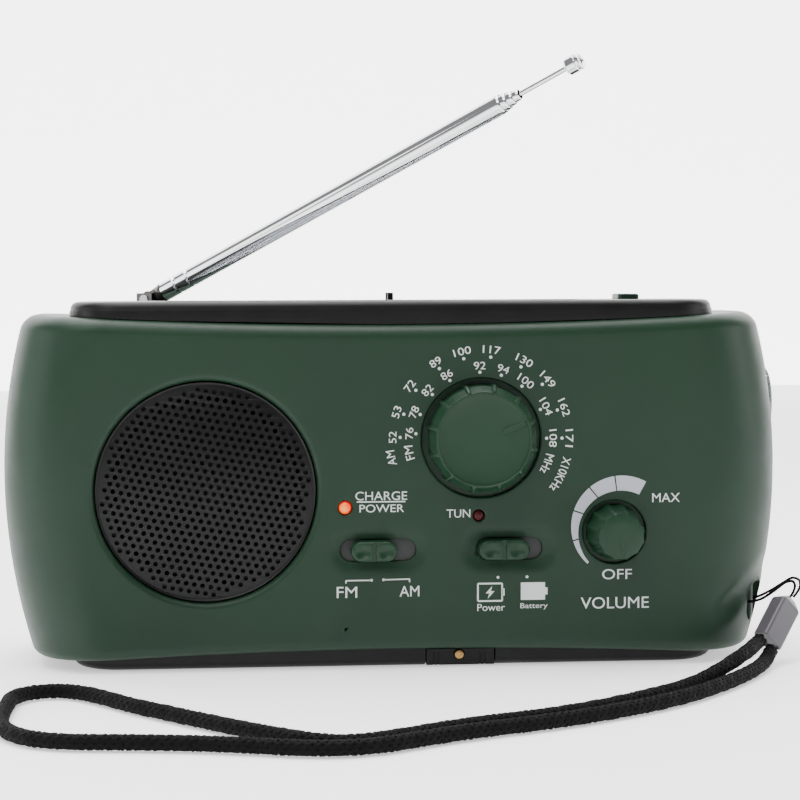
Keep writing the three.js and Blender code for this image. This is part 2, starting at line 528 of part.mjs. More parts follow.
place('crank_arm', geometryOf(crankArm()), BLACK);
place('crank_handle', geometryOf(crankHandle()), STEEL);
place('crank_pin', bar([CRANK.x - 4.6, hinge.y, hinge.z], [CRANK.x + 4.6, hinge.y, hinge.z], 1, 12), STEEL);
place('crank_grip', turned(tube(GRIP.r, GRIP.bore, GRIP.from, GRIP.to), [0, 0, 1],
  [CRANK.x, hinge.y, hinge.z], 20), KNOB_GREEN);

// a spur gear outline with slim trapezoid teeth, one tooth centred at `phase`
function gearShape(teeth, module, phase, bore) {
  const pitchRadius = (teeth * module) / 2;
  const step = (2 * Math.PI) / teeth;
  const tip = pitchRadius + 0.75 * module;
  const root = pitchRadius - 1.1 * module;
  const corners = [[root, -0.26], [tip, -0.11], [tip, 0.11], [root, 0.26]];
  const shape = new THREE.Shape();
  for (let tooth = 0; tooth < teeth; tooth++) {
    corners.forEach(([r, part], corner) => {
      const angle = phase + (tooth + part) * step;
      const method = tooth + corner === 0 ? 'moveTo' : 'lineTo';
      shape[method](r * Math.cos(angle), r * Math.sin(angle));
    });
  }
  if (bore > 0) shape.holes.push(new THREE.Path().absarc(0, 0, bore, 0, 2 * Math.PI, true));
  return shape;
}

// gear centres lie on a level line; angles are measured in the X-Z plane
const idlerX = CRANK.x + ((GEARS.drive + GEARS.pinion) * GEARS.module) / 2 + GEARS.slack;
const rotorX = idlerX + ((GEARS.idler + GEARS.rotor) * GEARS.fine) / 2 + GEARS.slack;
const halfTooth = (teeth) => Math.PI / teeth;

const driveWheel = solid(standing(gearShape(GEARS.drive, GEARS.module, 0, 0), 9.6, 12.2, CRANK.x, CRANK.z));
const axle = solid(bar(aroundCrank(6.2), aroundCrank(armTop - 1.4), SHAFT, 24));
place('drive_gear', geometryOf(join(driveWheel, axle)), NYLON);
const idlerPinion = solid(standing(gearShape(GEARS.pinion, GEARS.module, Math.PI + halfTooth(GEARS.pinion), 0),
  8.6, 12.4, idlerX, CRANK.z));
const idlerWheel = solid(standing(gearShape(GEARS.idler, GEARS.fine, 0, 0), 6.4, 8.8, idlerX, CRANK.z));
const idlerBore = solid(bar([idlerX, 0, CRANK.z], [idlerX, 20, CRANK.z], 1.6, 16));
place('idler_gear', geometryOf(cut(join(idlerWheel, idlerPinion), idlerBore)), NYLON);

const rotorShaft = solid(bar([rotorX, -6, CRANK.z], [rotorX, 9, CRANK.z], 1, 14));
const rotorPinion = solid(standing(gearShape(GEARS.rotor, GEARS.fine, Math.PI + halfTooth(GEARS.rotor), 0),
  6.4, 8.8, rotorX, CRANK.z));
place('dynamo_rotor', geometryOf(join(rotorShaft, rotorPinion)), STEEL);
place('dynamo', turned([[1.15, -9], [9.5, -9], [9.5, 4], [1.15, 4], [1.15, -9]], backwards,
  [rotorX, 0, CRANK.z], 18), STEEL);

const bracketPlate = solid(block([CRANK.x - 10, rotorX + 10], [4.5, 5.8], [CRANK.z - 9, CRANK.z + 9]));
const bracketCuts = [[CRANK.x, SHAFT + 1], [rotorX, 1.15]].map(([x, r]) =>
  solid(bar([x, 0, CRANK.z], [x, 10, CRANK.z], r, 16)));
const idlerPin = solid(bar([idlerX, 5, CRANK.z], [idlerX, 13.1, CRANK.z], 1.5, 16));
place('gear_bracket', geometryOf(join(cut(bracketPlate, ...bracketCuts), idlerPin)), STEEL);

// ---------- rechargeable pack ----------
const packShape = new THREE.Shape();
packShape.moveTo(-15.9, -5.3);
packShape.lineTo(15.9 - 5.3, -5.3);
packShape.absarc(15.9 - 5.3, 0, 5.3, -Math.PI / 2, Math.PI / 2);
packShape.lineTo(-15.9 + 5.3, 5.3);
packShape.absarc(-15.9 + 5.3, 0, 5.3, Math.PI / 2, Math.PI);
packShape.lineTo(-15.9, -5.3);
place('rechargeable_pack', extrudedUp(packShape, 17, 61, 6).translate(56, 15, 0), WRAP);

// ---------- flashlight and jacks on the right side ----------
const outwards = [1, 0, 0];
const lightAt = [0, LIGHT.y, LIGHT.z];
place('light_reflector', turned([[2.5, 76], [4, 76], [LIGHT.r - 0.2, 86], [LIGHT.r - 1, 86], [2.5, 77], [2.5, 76]],
  outwards, lightAt, 24), CHROME);
place('light_lens', turned([[0, 86.4], [LIGHT.r, 86.4], [LIGHT.r, 89.2], [LIGHT.r - 2, 89.9], [0, 90.1]],
  outwards, lightAt, 28), CLEAR);
place('light_led', turned([[0, 74], [1.9, 74], [1.9, 79.5], [1.2, 80.8], [0, 81.2]], outwards, lightAt, 12), CLEAR);
place('jack_block', geometryOf(cut(
  solid(block([73, 86.4], [-9, 7], [39.4, 45.6])),
  solid(bar([76, -4.6, 42.4], [90, -4.6, 42.4], 2, 14)),
  solid(bar([76, 2.6, 42.4], [90, 2.6, 42.4], 2.4, 14)),
)), BLACK);
place('jack_flap', block([FLAP.x0, FLAP.x1], [FLAP.y0, FLAP.y1], [FLAP.z0, FLAP.z1]), RUBBER);

// ---------- antenna ----------
const swivelX = MAST.pivot[0];
const swivelY = MAST.pivot[1];
const toRadians = THREE.MathUtils.degToRad;
const swivel = new THREE.Group();
swivel.position.set(...MAST.pivot);
swivel.rotation.set(0, 0, toRadians(MAST.azimuth));
radio.add(swivel);

const baseDrop = MAST.pivot[2];
const yoke = cut(
  join(
    solid(bar([0, 0, 76.4 - baseDrop], [0, 0, 79.4 - baseDrop], 3, 20)),
    solid(bar([0, 0, 71 - baseDrop], [0, 0, 77 - baseDrop], 1.5, 16)),
    solid(block([-2.2, 2.2], [-2.6, 2.6], [78.9 - baseDrop, 1.6])),
  ),
  solid(block([-4, 4], [-1.5, 1.5], [79.8 - baseDrop, 4])),
  solid(bar([0, -5, 0], [0, 5, 0], 0.8, 12)),
);
place('antenna_swivel', geometryOf(yoke), STEEL, swivel);
place('antenna_pin', bar([0, -2.9, 0], [0, 2.9, 0], 0.7, 12), STEEL, swivel);

const mast = new THREE.Group();
mast.rotation.set(0, toRadians(-MAST.elevation), 0);
swivel.add(mast);
const knuckle = cut(
  join(
    solid(bar([0, -1.2, 0], [0, 1.2, 0], 2.1, 16)),
    solid(block([0, 4.5], [-1.2, 1.2], [-1.9, 1.9])),
    solid(bar([4, 0, 0], [4.7, 0, 0], 2.35, 16)),
    solid(bar([4.4, 0, 0], [11, 0, 0], 2.0, 16)),
  ),
  solid(bar([0, -5, 0], [0, 5, 0], 0.8, 12)),
);
place('antenna_knuckle', geometryOf(knuckle), CHROME, mast);
const along = [1, 0, 0];
TUBES.forEach(({ r, bore, from, to }, i) => {
  place(`antenna_tube_${i + 1}`, turned(tube(r, bore, from, to), along, [0, 0, 0], 16), CHROME, mast);
});
const rodProfile = [[0, ROD.from], [ROD.foot, ROD.from], [ROD.foot, ROD.from + 3], [ROD.r, ROD.from + 3],
  [ROD.r, ROD.to], [ROD.tip - 0.4, ROD.to], [ROD.tip, ROD.to + 0.5], [ROD.tip, ROD.to + ROD.tipLength],
  [0, ROD.to + ROD.tipLength]];
place('antenna_rod', turned(rodProfile, along, [0, 0, 0], 14), CHROME, mast);

// the clip is an open cradle, 1.4 mm thick, in the channel behind the top cover
const cradle = cut(
  solid(block([0.8, 2.2], [16, 24], [78.1, 84.7])),
  solid(block([-5, 5], [swivelY - 2.5, swivelY + 2.5], [80.5, 90])),
);
place('antenna_clip', geometryOf(cradle), BLACK);

// ---------- lanyard, ferrule and wrist strap ----------
const neck = new THREE.Vector3(...FERRULE.neck);
const mouth = new THREE.Vector3(...FERRULE.mouth);
const ferruleLength = neck.distanceTo(mouth);
const ferruleAxis = mouth.clone().sub(neck).normalize().toArray();
place('ferrule', turned([[0.0, 0], [1.9, 0], [FERRULE.r, 1.6], [FERRULE.r, ferruleLength], [0, ferruleLength]],
  ferruleAxis, FERRULE.neck, 20), GLOSS_GREY);

function cordAlong(route, { r, sides, steps }) {
  const section = new THREE.Shape();
  for (let i = 0; i < sides; i++) {
    const angle = (2 * Math.PI * i) / sides;
    if (i === 0) section.moveTo(r, 0);
    else section.lineTo(r * Math.cos(angle), r * Math.sin(angle));
  }
  const path = new THREE.CatmullRomCurve3(route.map((point) => new THREE.Vector3(...point)));
  return new THREE.ExtrudeGeometry(section, { steps, extrudePath: path, bevelEnabled: false });
}
place('lanyard_thread', cordAlong(THREAD_ROUTE, THREAD), CORD);
place('wrist_strap', cordAlong(STRAP_ROUTE, STRAP), CORD);

export default radio;
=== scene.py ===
import math
import random

import bmesh
import bpy
from mathutils import Matrix, Vector


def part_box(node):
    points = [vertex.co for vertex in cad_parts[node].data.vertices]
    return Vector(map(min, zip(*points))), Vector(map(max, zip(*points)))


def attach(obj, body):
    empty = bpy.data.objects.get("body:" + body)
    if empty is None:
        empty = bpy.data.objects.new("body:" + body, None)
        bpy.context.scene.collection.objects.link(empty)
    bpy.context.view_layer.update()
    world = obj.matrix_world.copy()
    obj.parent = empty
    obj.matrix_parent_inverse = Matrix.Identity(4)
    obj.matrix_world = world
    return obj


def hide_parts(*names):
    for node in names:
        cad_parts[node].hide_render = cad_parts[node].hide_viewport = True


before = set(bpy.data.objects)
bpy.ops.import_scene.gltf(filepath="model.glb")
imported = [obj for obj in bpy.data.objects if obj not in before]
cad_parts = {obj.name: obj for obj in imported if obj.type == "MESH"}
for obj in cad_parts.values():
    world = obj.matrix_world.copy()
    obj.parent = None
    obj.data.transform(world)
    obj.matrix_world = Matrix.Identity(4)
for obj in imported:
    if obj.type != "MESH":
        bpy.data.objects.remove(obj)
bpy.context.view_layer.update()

# Every length in this file is written in millimetres and turned into metres by MM.
MM = 0.001
random.seed(7)


# ---------- places, read from the frame (millimetres) ----------
def box_mm(node):
    """Lowest and highest corner of a CAD node, in millimetres."""
    low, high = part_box(node)
    return Vector(low) / MM, Vector(high) / MM


def middle(node):
    low, high = box_mm(node)
    return (low + high) / 2


CABINET_LOW = box_mm("front_cabinet")[0]
FRONT = CABINET_LOW.y
HALF_DEPTH = -FRONT
HALF_WIDTH = -CABINET_LOW.x
CORNER = 18
WAIST = 44
BARREL = 6.2
BARREL_SPAN = 38
BODY_TOP = 77.7
BODY_BOTTOM = 4.3
FLARE = 2.5
FLARE_X = 82
WALL = 2.4
SPEAKER = middle("speaker_grille")
TUNING = middle("tuning_knob")
VOLUME = middle("volume_knob")
BAND = middle("band_switch")
SOURCE = middle("source_switch")
CHARGE_LED = middle("charge_led")
TUNING_LED = middle("tuning_led")
LENS = middle("light_lens")
CRANK = middle("drive_gear")
PIVOT = Vector((-56.8, 20, 83.2))
AZIMUTH = math.radians(-32.8)
ELEVATION = math.radians(24.5)


# ---------- materials ----------
def linear(r, g, b):
    """A display colour from 0 to 255 as a linear colour."""
    def channel(value):
        value = value / 255
        return value / 12.92 if value <= 0.04045 else ((value + 0.055) / 1.055) ** 2.4
    return (channel(r), channel(g), channel(b), 1)


class Nodes:
    """A short way to add and join shader nodes."""

    def __init__(self, name):
        self.material = bpy.data.materials.new(name)
        self.material.use_nodes = True
        self.tree = self.material.node_tree
        self.shader = self.tree.nodes["Principled BSDF"]
        self.coordinates = self.tree.nodes.new("ShaderNodeTexCoord").outputs["Object"]

    def add(self, kind, **settings):
        node = self.tree.nodes.new(kind)
        for key, value in settings.items():
            if hasattr(node, key):
                setattr(node, key, value)
            else:
                node.inputs[key.replace("_", " ")].default_value = value
        return node

    def join(self, source, target):
        self.tree.links.new(source, target)

    def noise(self, size_mm, detail=3, roughness=0.55):
        node = self.add("ShaderNodeTexNoise", Scale=1 / (size_mm * MM), Detail=detail, Roughness=roughness)
        self.join(self.coordinates, node.inputs["Vector"])
        return node.outputs["Fac"]

    def ramp(self, source, dark, light, low=0.3, high=0.7):
        node = self.add("ShaderNodeValToRGB")
        node.color_ramp.elements[0].position = low
        node.color_ramp.elements[0].color = dark
        node.color_ramp.elements[1].position = high
        node.color_ramp.elements[1].color = light
        self.join(source, node.inputs["Fac"])
        return node.outputs["Color"]

    def spread(self, source, low, high):
        node = self.add("ShaderNodeMapRange")
        node.inputs["From Min"].default_value = 0.25
        node.inputs["From Max"].default_value = 0.75
        node.inputs["To Min"].default_value = low
        node.inputs["To Max"].default_value = high
        self.join(source, node.inputs["Value"])
        return node.outputs["Result"]

    def bump(self, source, depth_mm, strength=1.0, after=None):
        node = self.add("ShaderNodeBump", Strength=strength, Distance=depth_mm * MM)
        self.join(source, node.inputs["Height"])
        if after is not None:
            self.join(after, node.inputs["Normal"])
        self.join(node.outputs["Normal"], self.shader.inputs["Normal"])
        return node.outputs["Normal"]


PLASTIC_SPECULAR = 0.24
CORD_SPECULAR = 0.12


def plastic(name, color, roughness, grain_mm=0.35, grain_depth=0.012, variation=0.1, coat=0.0):
    """Moulded plastic: fine spark-eroded grain, slight flow mottling and handling marks in its gloss."""
    nodes = Nodes(name)
    shader = nodes.shader
    base = Vector(linear(*color)[:3])
    dark = (*(base * (1 - variation)), 1)
    light = (*(base * (1 + variation)), 1)
    nodes.join(nodes.ramp(nodes.noise(18, 4), dark, light), shader.inputs["Base Color"])
    nodes.join(nodes.spread(nodes.noise(6, 5), roughness - 0.05, roughness + 0.06),
               shader.inputs["Roughness"])
    shader.inputs["Coat Weight"].default_value = coat
    shader.inputs["Coat Roughness"].default_value = 0.3
    shader.inputs["Specular IOR Level"].default_value = PLASTIC_SPECULAR
    nodes.bump(nodes.noise(grain_mm, 2), grain_depth, 0.5)
    return nodes.material


def metal(name, color, roughness, smudge=0.05, brushed_mm=0, variation=0.04):
    """Metal with faint smudges, and fine brushing where asked."""
    nodes = Nodes(name)
    shader = nodes.shader
    shader.inputs["Metallic"].default_value = 1
    base = Vector(linear(*color)[:3])
    nodes.join(nodes.ramp(nodes.noise(9, 4), (*(base * (1 - variation)), 1), (*(base * (1 + variation)), 1)),
               shader.inputs["Base Color"])
    nodes.join(nodes.spread(nodes.noise(4, 5), max(roughness - smudge, 0.02), roughness + smudge),
               shader.inputs["Roughness"])
    if brushed_mm:
        nodes.bump(nodes.noise(brushed_mm, 2), 0.004, 0.4)
    return nodes.material


def clear_plastic(name, color, roughness, transmission=0.95, ior=1.49):
    nodes = Nodes(name)
    shader = nodes.shader
    shader.inputs["Base Color"].default_value = linear(*color)
    shader.inputs["Transmission Weight"].default_value = transmission
    shader.inputs["IOR"].default_value = ior
    nodes.join(nodes.spread(nodes.noise(3, 3), roughness, roughness + 0.05), shader.inputs["Roughness"])
    return nodes.material


def glowing(name, core, rim, centre, radius_mm, strength):
    """A lit lamp: bright yellow-orange in the middle, deep colour at its rim."""
    nodes = Nodes(name)
    shader = nodes.shader
    distance = nodes.add("ShaderNodeVectorMath", operation="DISTANCE")
    nodes.join(nodes.coordinates, distance.inputs[0])
    distance.inputs[1].default_value = centre * MM
    scale = nodes.add("ShaderNodeMath", operation="DIVIDE")
    nodes.join(distance.outputs["Value"], scale.inputs[0])
    scale.inputs[1].default_value = radius_mm * MM
    colour = nodes.ramp(scale.outputs["Value"], linear(*core), linear(*rim), 0.15, 1.0)
    nodes.join(colour, shader.inputs["Base Color"])
    nodes.join(colour, shader.inputs["Emission Color"])
    shader.inputs["Emission Strength"].default_value = strength
    shader.inputs["Roughness"].default_value = 0.3
    return nodes.material


def woven(name, color, thread_mm):
    """Nylon yarn: fine fibres across each strand, a little fuzz and sheen."""
    nodes = Nodes(name)
    shader = nodes.shader
    base = Vector(linear(*color)[:3])
    nodes.join(nodes.ramp(nodes.noise(thread_mm, 5, 0.7), (*(base * 0.6), 1), (*(base * 1.5), 1)),
               shader.inputs["Base Color"])
    shader.inputs["Roughness"].default_value = 0.75
    shader.inputs["Sheen Weight"].default_value = 0.02
    shader.inputs["Specular IOR Level"].default_value = CORD_SPECULAR
    shader.inputs["Sheen Roughness"].default_value = 0.5
    nodes.bump(nodes.noise(thread_mm * 0.4, 3, 0.7), 0.06, 0.8)
    return nodes.material


GREEN = plastic("cabinet_green", (15, 41, 25), 0.46, grain_depth=0.010, variation=0.07, coat=0.05)
KNOB_GREEN = plastic("knob_green", (17, 46, 28), 0.42, grain_depth=0.008, variation=0.08, coat=0.05)
BLACK = plastic("black_plastic", (5, 5, 6), 0.42, grain_depth=0.008)
DARK_FLOOR = plastic("slot_floor", (46, 48, 47), 0.5)
GRILLE = plastic("grille_paint", (9, 9, 10), 0.42, grain_mm=0.5, grain_depth=0.01, variation=0.15)
CHROME = metal("chrome", (226, 227, 230), 0.07, smudge=0.03)
STEEL = metal("steel", (170, 172, 175), 0.3, brushed_mm=0.3)
DARK_STEEL = metal("dark_steel", (90, 88, 86), 0.35, brushed_mm=0.3)
BRASS = metal("brass", (176, 140, 88), 0.32, brushed_mm=0.2)
COPPER = metal("copper", (184, 110, 62), 0.4, brushed_mm=0.2)
WHITE_PRINT = plastic("white_print", (196, 200, 198), 0.5, grain_mm=0.2, grain_depth=0.004, variation=0.05)
GREY_PRINT = plastic("grey_print", (168, 170, 178), 0.5, grain_mm=0.2, grain_depth=0.004, variation=0.06)
RED = plastic("red_lens", (58, 6, 10), 0.5, grain_depth=0.002)
CLEAR = clear_plastic("clear_plastic", (238, 242, 244), 0.03)
SOLAR_BLUE = plastic("solar_cell", (14, 20, 44), 0.2, grain_mm=2.5, grain_depth=0.006, variation=0.35,
                     coat=0.5)
SILVER_LINE = metal("silver_line", (188, 190, 194), 0.35)
RUBBER = plastic("rubber", (24, 25, 26), 0.62, grain_mm=0.25, grain_depth=0.02)
CORD = woven("cord_yarn", (5, 5, 6), 0.5)
FERRULE_GREY = plastic("ferrule_grey", (78, 75, 80), 0.3, grain_mm=0.4, grain_depth=0.004, coat=0.3)
BOARD = plastic("circuit_board", (24, 92, 54), 0.4, grain_mm=1.2, variation=0.2)
PAPER = plastic("speaker_paper", (24, 24, 26), 0.8, grain_mm=0.5, grain_depth=0.05)
FERRITE = plastic("ferrite", (52, 52, 55), 0.6, grain_mm=0.3, grain_depth=0.02)
NYLON = plastic("nylon", (222, 217, 204), 0.42)
WRAP = plastic("cell_wrap", (44, 108, 176), 0.25, coat=0.4)
WARM_WHITE = plastic("lamp_white", (236, 236, 226), 0.25)
AMBER = glowing("orange_lens", (255, 150, 40), (240, 26, 8),
                Vector((CHARGE_LED.x - 0.25, FRONT, CHARGE_LED.z - 0.15)),
                1.55, 0.3)


# ---------- mesh helpers (all in millimetres) ----------
def circle(radius, steps, phase=0.0):
    return [Vector((radius * math.cos(phase + math.tau * i / steps),
                    radius * math.sin(phase + math.tau * i / steps)))
            for i in range(steps)]


def obround(half_length, radius, steps=24):
    """A slot outline with round ends, half_length from the middle to each end's centre."""
    points = []
    for side in (1, -1):
        for i in range(steps + 1):
            turn = math.pi * (i / steps - 0.5)
            points.append(Vector((side * (half_length + radius * math.cos(turn)),
                                  side * radius * math.sin(turn))))
    return points


def rounded_rectangle(half_x, half_y, radius, steps=10):
    points = []
    corners = [(1, 1, 0), (-1, 1, 1), (-1, -1, 2), (1, -1, 3)]
    for sx, sy, quarter in corners:
        for i in range(steps + 1):
            turn = (quarter + i / steps) * math.pi / 2
            points.append(Vector((sx * (half_x - radius) + radius * math.cos(turn),
                                  sy * (half_y - radius) + radius * math.sin(turn))))
    return points


def loft(rings, cap_start=True, cap_end=True):
    """A skin over closed rings of equally many points."""
    count = len(rings[0])
    vertices = [point for ring in rings for point in ring]
    faces = []
    for level in range(len(rings) - 1):
        a = level * count
        b = a + count
        for i in range(count):
            j = (i + 1) % count
            faces.append((a + i, a + j, b + j, b + i))
    if cap_start:
        faces.append(tuple(reversed(range(count))))
    if cap_end:
        last = (len(rings) - 1) * count
        faces.append(tuple(range(last, last + count)))
    return vertices, faces


def lathe(profile, steps=64, closed=False):
    """A turned skin about +Z from [radius, distance] points. closed joins its last point to its first."""
    vertices = []
    rings = []
    for radius, distance in profile:
        if radius < 1e-6:
            rings.append([len(vertices)] * steps)
            vertices.append(Vector((0, 0, distance)))
        else:
            rings.append(list(range(len(vertices), len(vertices) + steps)))
            vertices += [Vector((p.x, p.y, distance)) for p in circle(radius, steps)]
    if closed:
        rings.append(rings[0])
    faces = []
    for ring, following in zip(rings, rings[1:]):
        for i in range(steps):
            j = (i + 1) % steps
            corners = [ring[i], ring[j], following[j], following[i]]
            unique = list(dict.fromkeys(corners))
            if len(unique) > 2:
                faces.append(tuple(unique))
    return vertices, faces


def moved(geometry, matrix):
    vertices, faces = geometry
    return [matrix @ v for v in vertices], faces


def pointing(direction, origin=(0, 0, 0)):
    """The matrix that takes +Z to a direction, from an origin."""
    turn = Vector((0, 0, 1)).rotation_difference(Vector(direction)).to_matrix().to_4x4()
    return Matrix.Translation(Vector(origin)) @ turn


def gathered(*geometries):
    """Several skins as one."""
    vertices = []
    faces = []
    for more_vertices, more_faces in geometries:
        start = len(vertices)
        vertices += more_vertices
        faces += [tuple(start + i for i in face) for face in more_faces]
    return vertices, faces


def mesh_object(name, geometry, material):
    vertices, faces = geometry
    mesh = bpy.data.meshes.new(name)
    mesh.from_pydata([Vector(v) * MM for v in vertices], [], faces)
    obj = bpy.data.objects.new(name, mesh)
    bpy.context.scene.collection.objects.link(obj)
    mesh.materials.append(material)
    outward(mesh)
    return obj


def outward(mesh):
    """Turns every face of a closed mesh outwards."""
    work = bmesh.new()
    work.from_mesh(mesh)
    bmesh.ops.remove_doubles(work, verts=work.verts, dist=1e-6)
    bmesh.ops.recalc_face_normals(work, faces=work.faces)
    work.to_mesh(mesh)
    work.free()


def applied(obj):
    """Turns an object's modifiers into its mesh."""
    graph = bpy.context.evaluated_depsgraph_get()
    old = obj.data
    obj.data = bpy.data.meshes.new_from_object(obj.evaluated_get(graph))
    obj.modifiers.clear()
    bpy.data.meshes.remove(old)
    return obj


def carve(obj, cutters, operation="DIFFERENCE"):
    """Cuts an object with closed skins, or joins them to it."""
    for geometry in cutters:
        cutter = mesh_object("cutter", geometry, GREEN)
        cutter.hide_render = True
        change = obj.modifiers.new("cut", "BOOLEAN")
        change.operation = operation
        change.solver = "EXACT"
        change.use_hole_tolerant = True
        change.object = cutter
        applied(obj)
        bpy.data.objects.remove(cutter)
    return obj


def piece(name, geometry, material, body="cabinet", replaces=(), sharp=38, bevel=0.0, crease=35):
    """A finished piece: its skin, soft edges, shading, body and the CAD nodes it stands for."""
    obj = geometry if isinstance(geometry, bpy.types.Object) else mesh_object(name, geometry, material)
    obj.name = name
    if bevel:
        edge = obj.modifiers.new("soft edges", "BEVEL")
        edge.width = bevel * MM
        edge.segments = 3
        edge.limit_method = "ANGLE"
        edge.angle_limit = math.radians(crease)
        edge.use_clamp_overlap = True
        applied(obj)
    mesh = obj.data
    mesh.polygons.foreach_set("use_smooth", [True] * len(mesh.polygons))
    mesh.set_sharp_from_angle(angle=math.radians(sharp))
    weighted = obj.modifiers.new("shading", "WEIGHTED_NORMAL")
    weighted.keep_sharp = True
    weighted.weight = 80
    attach(obj, body)
    if replaces:
        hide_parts(*replaces)
    return obj


# ---------- camera ----------
def camera():
    """At the front, a little above the radio and to its left, looking slightly down and to the right."""
    yaw, pitch, roll = (math.radians(a) for a in (4.5, 3.06, 0.23))
    forward = Vector((math.sin(yaw) * math.cos(pitch), math.cos(yaw) * math.cos(pitch), -math.sin(pitch)))
    level = Vector((math.cos(yaw), -math.sin(yaw), 0))
    above = level.cross(forward)
    right = math.cos(roll) * level - math.sin(roll) * above
    up = math.sin(roll) * level + math.cos(roll) * above
    data = bpy.data.cameras.new("camera")
    data.sensor_width = 36
    data.lens = 96.75
    data.clip_start = 0.01
    obj = bpy.data.objects.new("camera", data)
    turn = Matrix((right, up, -forward)).transposed().to_4x4()
    obj.matrix_world = Matrix.Translation(Vector((-37.4, -506.6, 86.5)) * MM) @ turn
    bpy.context.scene.collection.objects.link(obj)
    bpy.context.scene.camera = obj


camera()


# ---------- cords ----------
def catmull_rom(route, spacing):
    """Points at about equal spacing on a smooth curve through the route, by the centripetal rule."""
    points = [Vector(p) for p in route]
    points = [points[0] * 2 - points[1]] + points + [points[-1] * 2 - points[-2]]
    curve = []
    for p0, p1, p2, p3 in zip(points, points[1:], points[2:], points[3:]):
        t1 = (p1 - p0).length ** 0.5
        t2 = t1 + (p2 - p1).length ** 0.5
        t3 = t2 + (p3 - p2).length ** 0.5
        steps = max(2, round((p2 - p1).length / spacing))
        for i in range(steps):
            t = t1 + (t2 - t1) * i / steps
            a1 = p0 * ((t1 - t) / t1) + p1 * (t / t1)
            a2 = p1 * ((t2 - t) / (t2 - t1)) + p2 * ((t - t1) / (t2 - t1))
            a3 = p2 * ((t3 - t) / (t3 - t2)) + p3 * ((t - t2) / (t3 - t2))
            b1 = a1 * ((t2 - t) / t2) + a2 * (t / t2)
            b2 = a2 * ((t3 - t) / (t3 - t1)) + a3 * ((t - t1) / (t3 - t1))
            curve.append(b1 * ((t2 - t) / (t2 - t1)) + b2 * ((t - t1) / (t2 - t1)))
    curve.append(points[-2])
    return curve


def carried_frames(curve):
    """A side and an up direction at each point, carried along without twist."""
    frames = []
    up = Vector((0, 0, 1))
    for i, point in enumerate(curve):
        ahead = (curve[min(i + 1, len(curve) - 1)] - curve[max(i - 1, 0)]).normalized()
        side = ahead.cross(up).normalized()
        up = side.cross(ahead).normalized()
        frames.append((point, side, up))
    return frames


def braid(curve, radius, strands, pitch, strand_half_width, strand_half_height, sides=6):
    """Two families of strands wound opposite ways round a core, each passing over and under the other."""
    frames = carried_frames(curve)
    travelled = [0.0]
    for a, b in zip(curve, curve[1:]):
        travelled.append(travelled[-1] + (b - a).length)
    core = [[point + (side * p.x + up * p.y) * (radius - 1.6 * strand_half_height) for p in circle(1, 10)]
            for point, side, up in frames]
    skins = [loft(core)]
    middle_radius = radius - strand_half_height * 1.55
    per_family = strands // 2
    for family in (1, -1):
        for strand in range(per_family):
            rings = []
            for (point, side, up), distance in zip(frames, travelled):
                turn = family * math.tau * distance / pitch + math.tau * strand / per_family
                weave = math.cos(per_family * math.tau * distance / pitch * 2 + math.pi * (strand % 2))
                out = side * math.cos(turn) + up * math.sin(turn)
                along_ring = side * -math.sin(turn) + up * math.cos(turn)
                centre = point + out * (middle_radius + family * weave * strand_half_height * 0.55)
                rings.append([centre + along_ring * (p.x * strand_half_width)
                              + out * (p.y * strand_half_height)
                              for p in circle(1, sides)])
            skins.append(loft(rings))
    return gathered(*skins)


STRAP_ROUTE = [
    (81.3, -31.9, 6), (79.9, -34.2, 5.6), (76.2, -42, 5.4), (71.5, -48.8, 4.5), (66.6, -54, 3.2),
    (61.2, -59.4, 2.1), (55.5, -65.4, 1.75), (45.6, -75, 1.75), (35.8, -83.2, 1.75), (26.8, -89.2, 1.75),
    (18.2, -93.6, 1.75), (10.2, -97.2, 1.75), (2, -102, 1.75), (-6.2, -107.4, 1.75), (-12.4, -110.8, 1.75),
    (-18, -111.6, 1.75), (-23.4, -109, 1.75), (-29.5, -103.6, 1.75), (-38.4, -94.6, 1.75),
    (-48.4, -83.2, 1.75), (-57.4, -72.8, 1.75), (-63.6, -64.2, 1.75), (-68.2, -58.6, 1.75),
    (-72.6, -55.4, 1.75), (-76.8, -55.3, 1.75), (-80.6, -57.8, 1.75), (-82.8, -62.4, 1.75),
    (-83.2, -70, 1.75), (-83.2, -79, 1.75), (-82.4, -88.4, 1.75), (-79.8, -96.8, 1.75),
    (-75, -102.8, 1.75), (-68.6, -106, 1.75), (-58, -107.6, 1.75), (-44, -110, 1.75), (-33.4, -113, 1.75),
    (-25.4, -115.6, 1.75), (-17.6, -116.4, 1.75), (-10.4, -114.6, 1.75), (-3.6, -110.6, 1.75),
    (4, -106, 1.75), (12, -101.8, 1.75), (20, -98.2, 1.75), (29, -93.4, 1.75), (38.6, -87.4, 1.75),
    (48, -80.4, 1.75), (57, -72, 1.75), (65, -62.6, 1.75), (72.4, -52.4, 1.75), (78.4, -42.4, 1.8),
    (82, -35.4, 2.3), (83.9, -31.9, 3.6),
]
THREAD_ROUTE = [
    (89.9, -25.3, 14.5), (90.9, -24.8, 15.9), (91.5, -23.9, 17.2), (91.2, -22.7, 18), (89.8, -22.2, 17.7),
    (88, -21.7, 16.3), (86.2, -21, 14.8), (84.5, -20.1, 13.6), (82.8, -19.4, 13), (81.2, -18.4, 12.8),
    (80.3, -17.1, 12.7), (80.6, -15.6, 12.7), (81.9, -14.7, 12.8), (83.4, -15, 13), (85.2, -16.2, 13.8),
    (87.6, -18.2, 15.5), (89.8, -19.9, 17.3), (91.6, -21.3, 18.6), (92.8, -22.7, 18.2),
    (92.7, -23.8, 16.9), (91.9, -24.2, 15.6), (91, -24.3, 14.5),
]
STRAP_RADIUS = 1.7
THREAD_RADIUS = 0.35


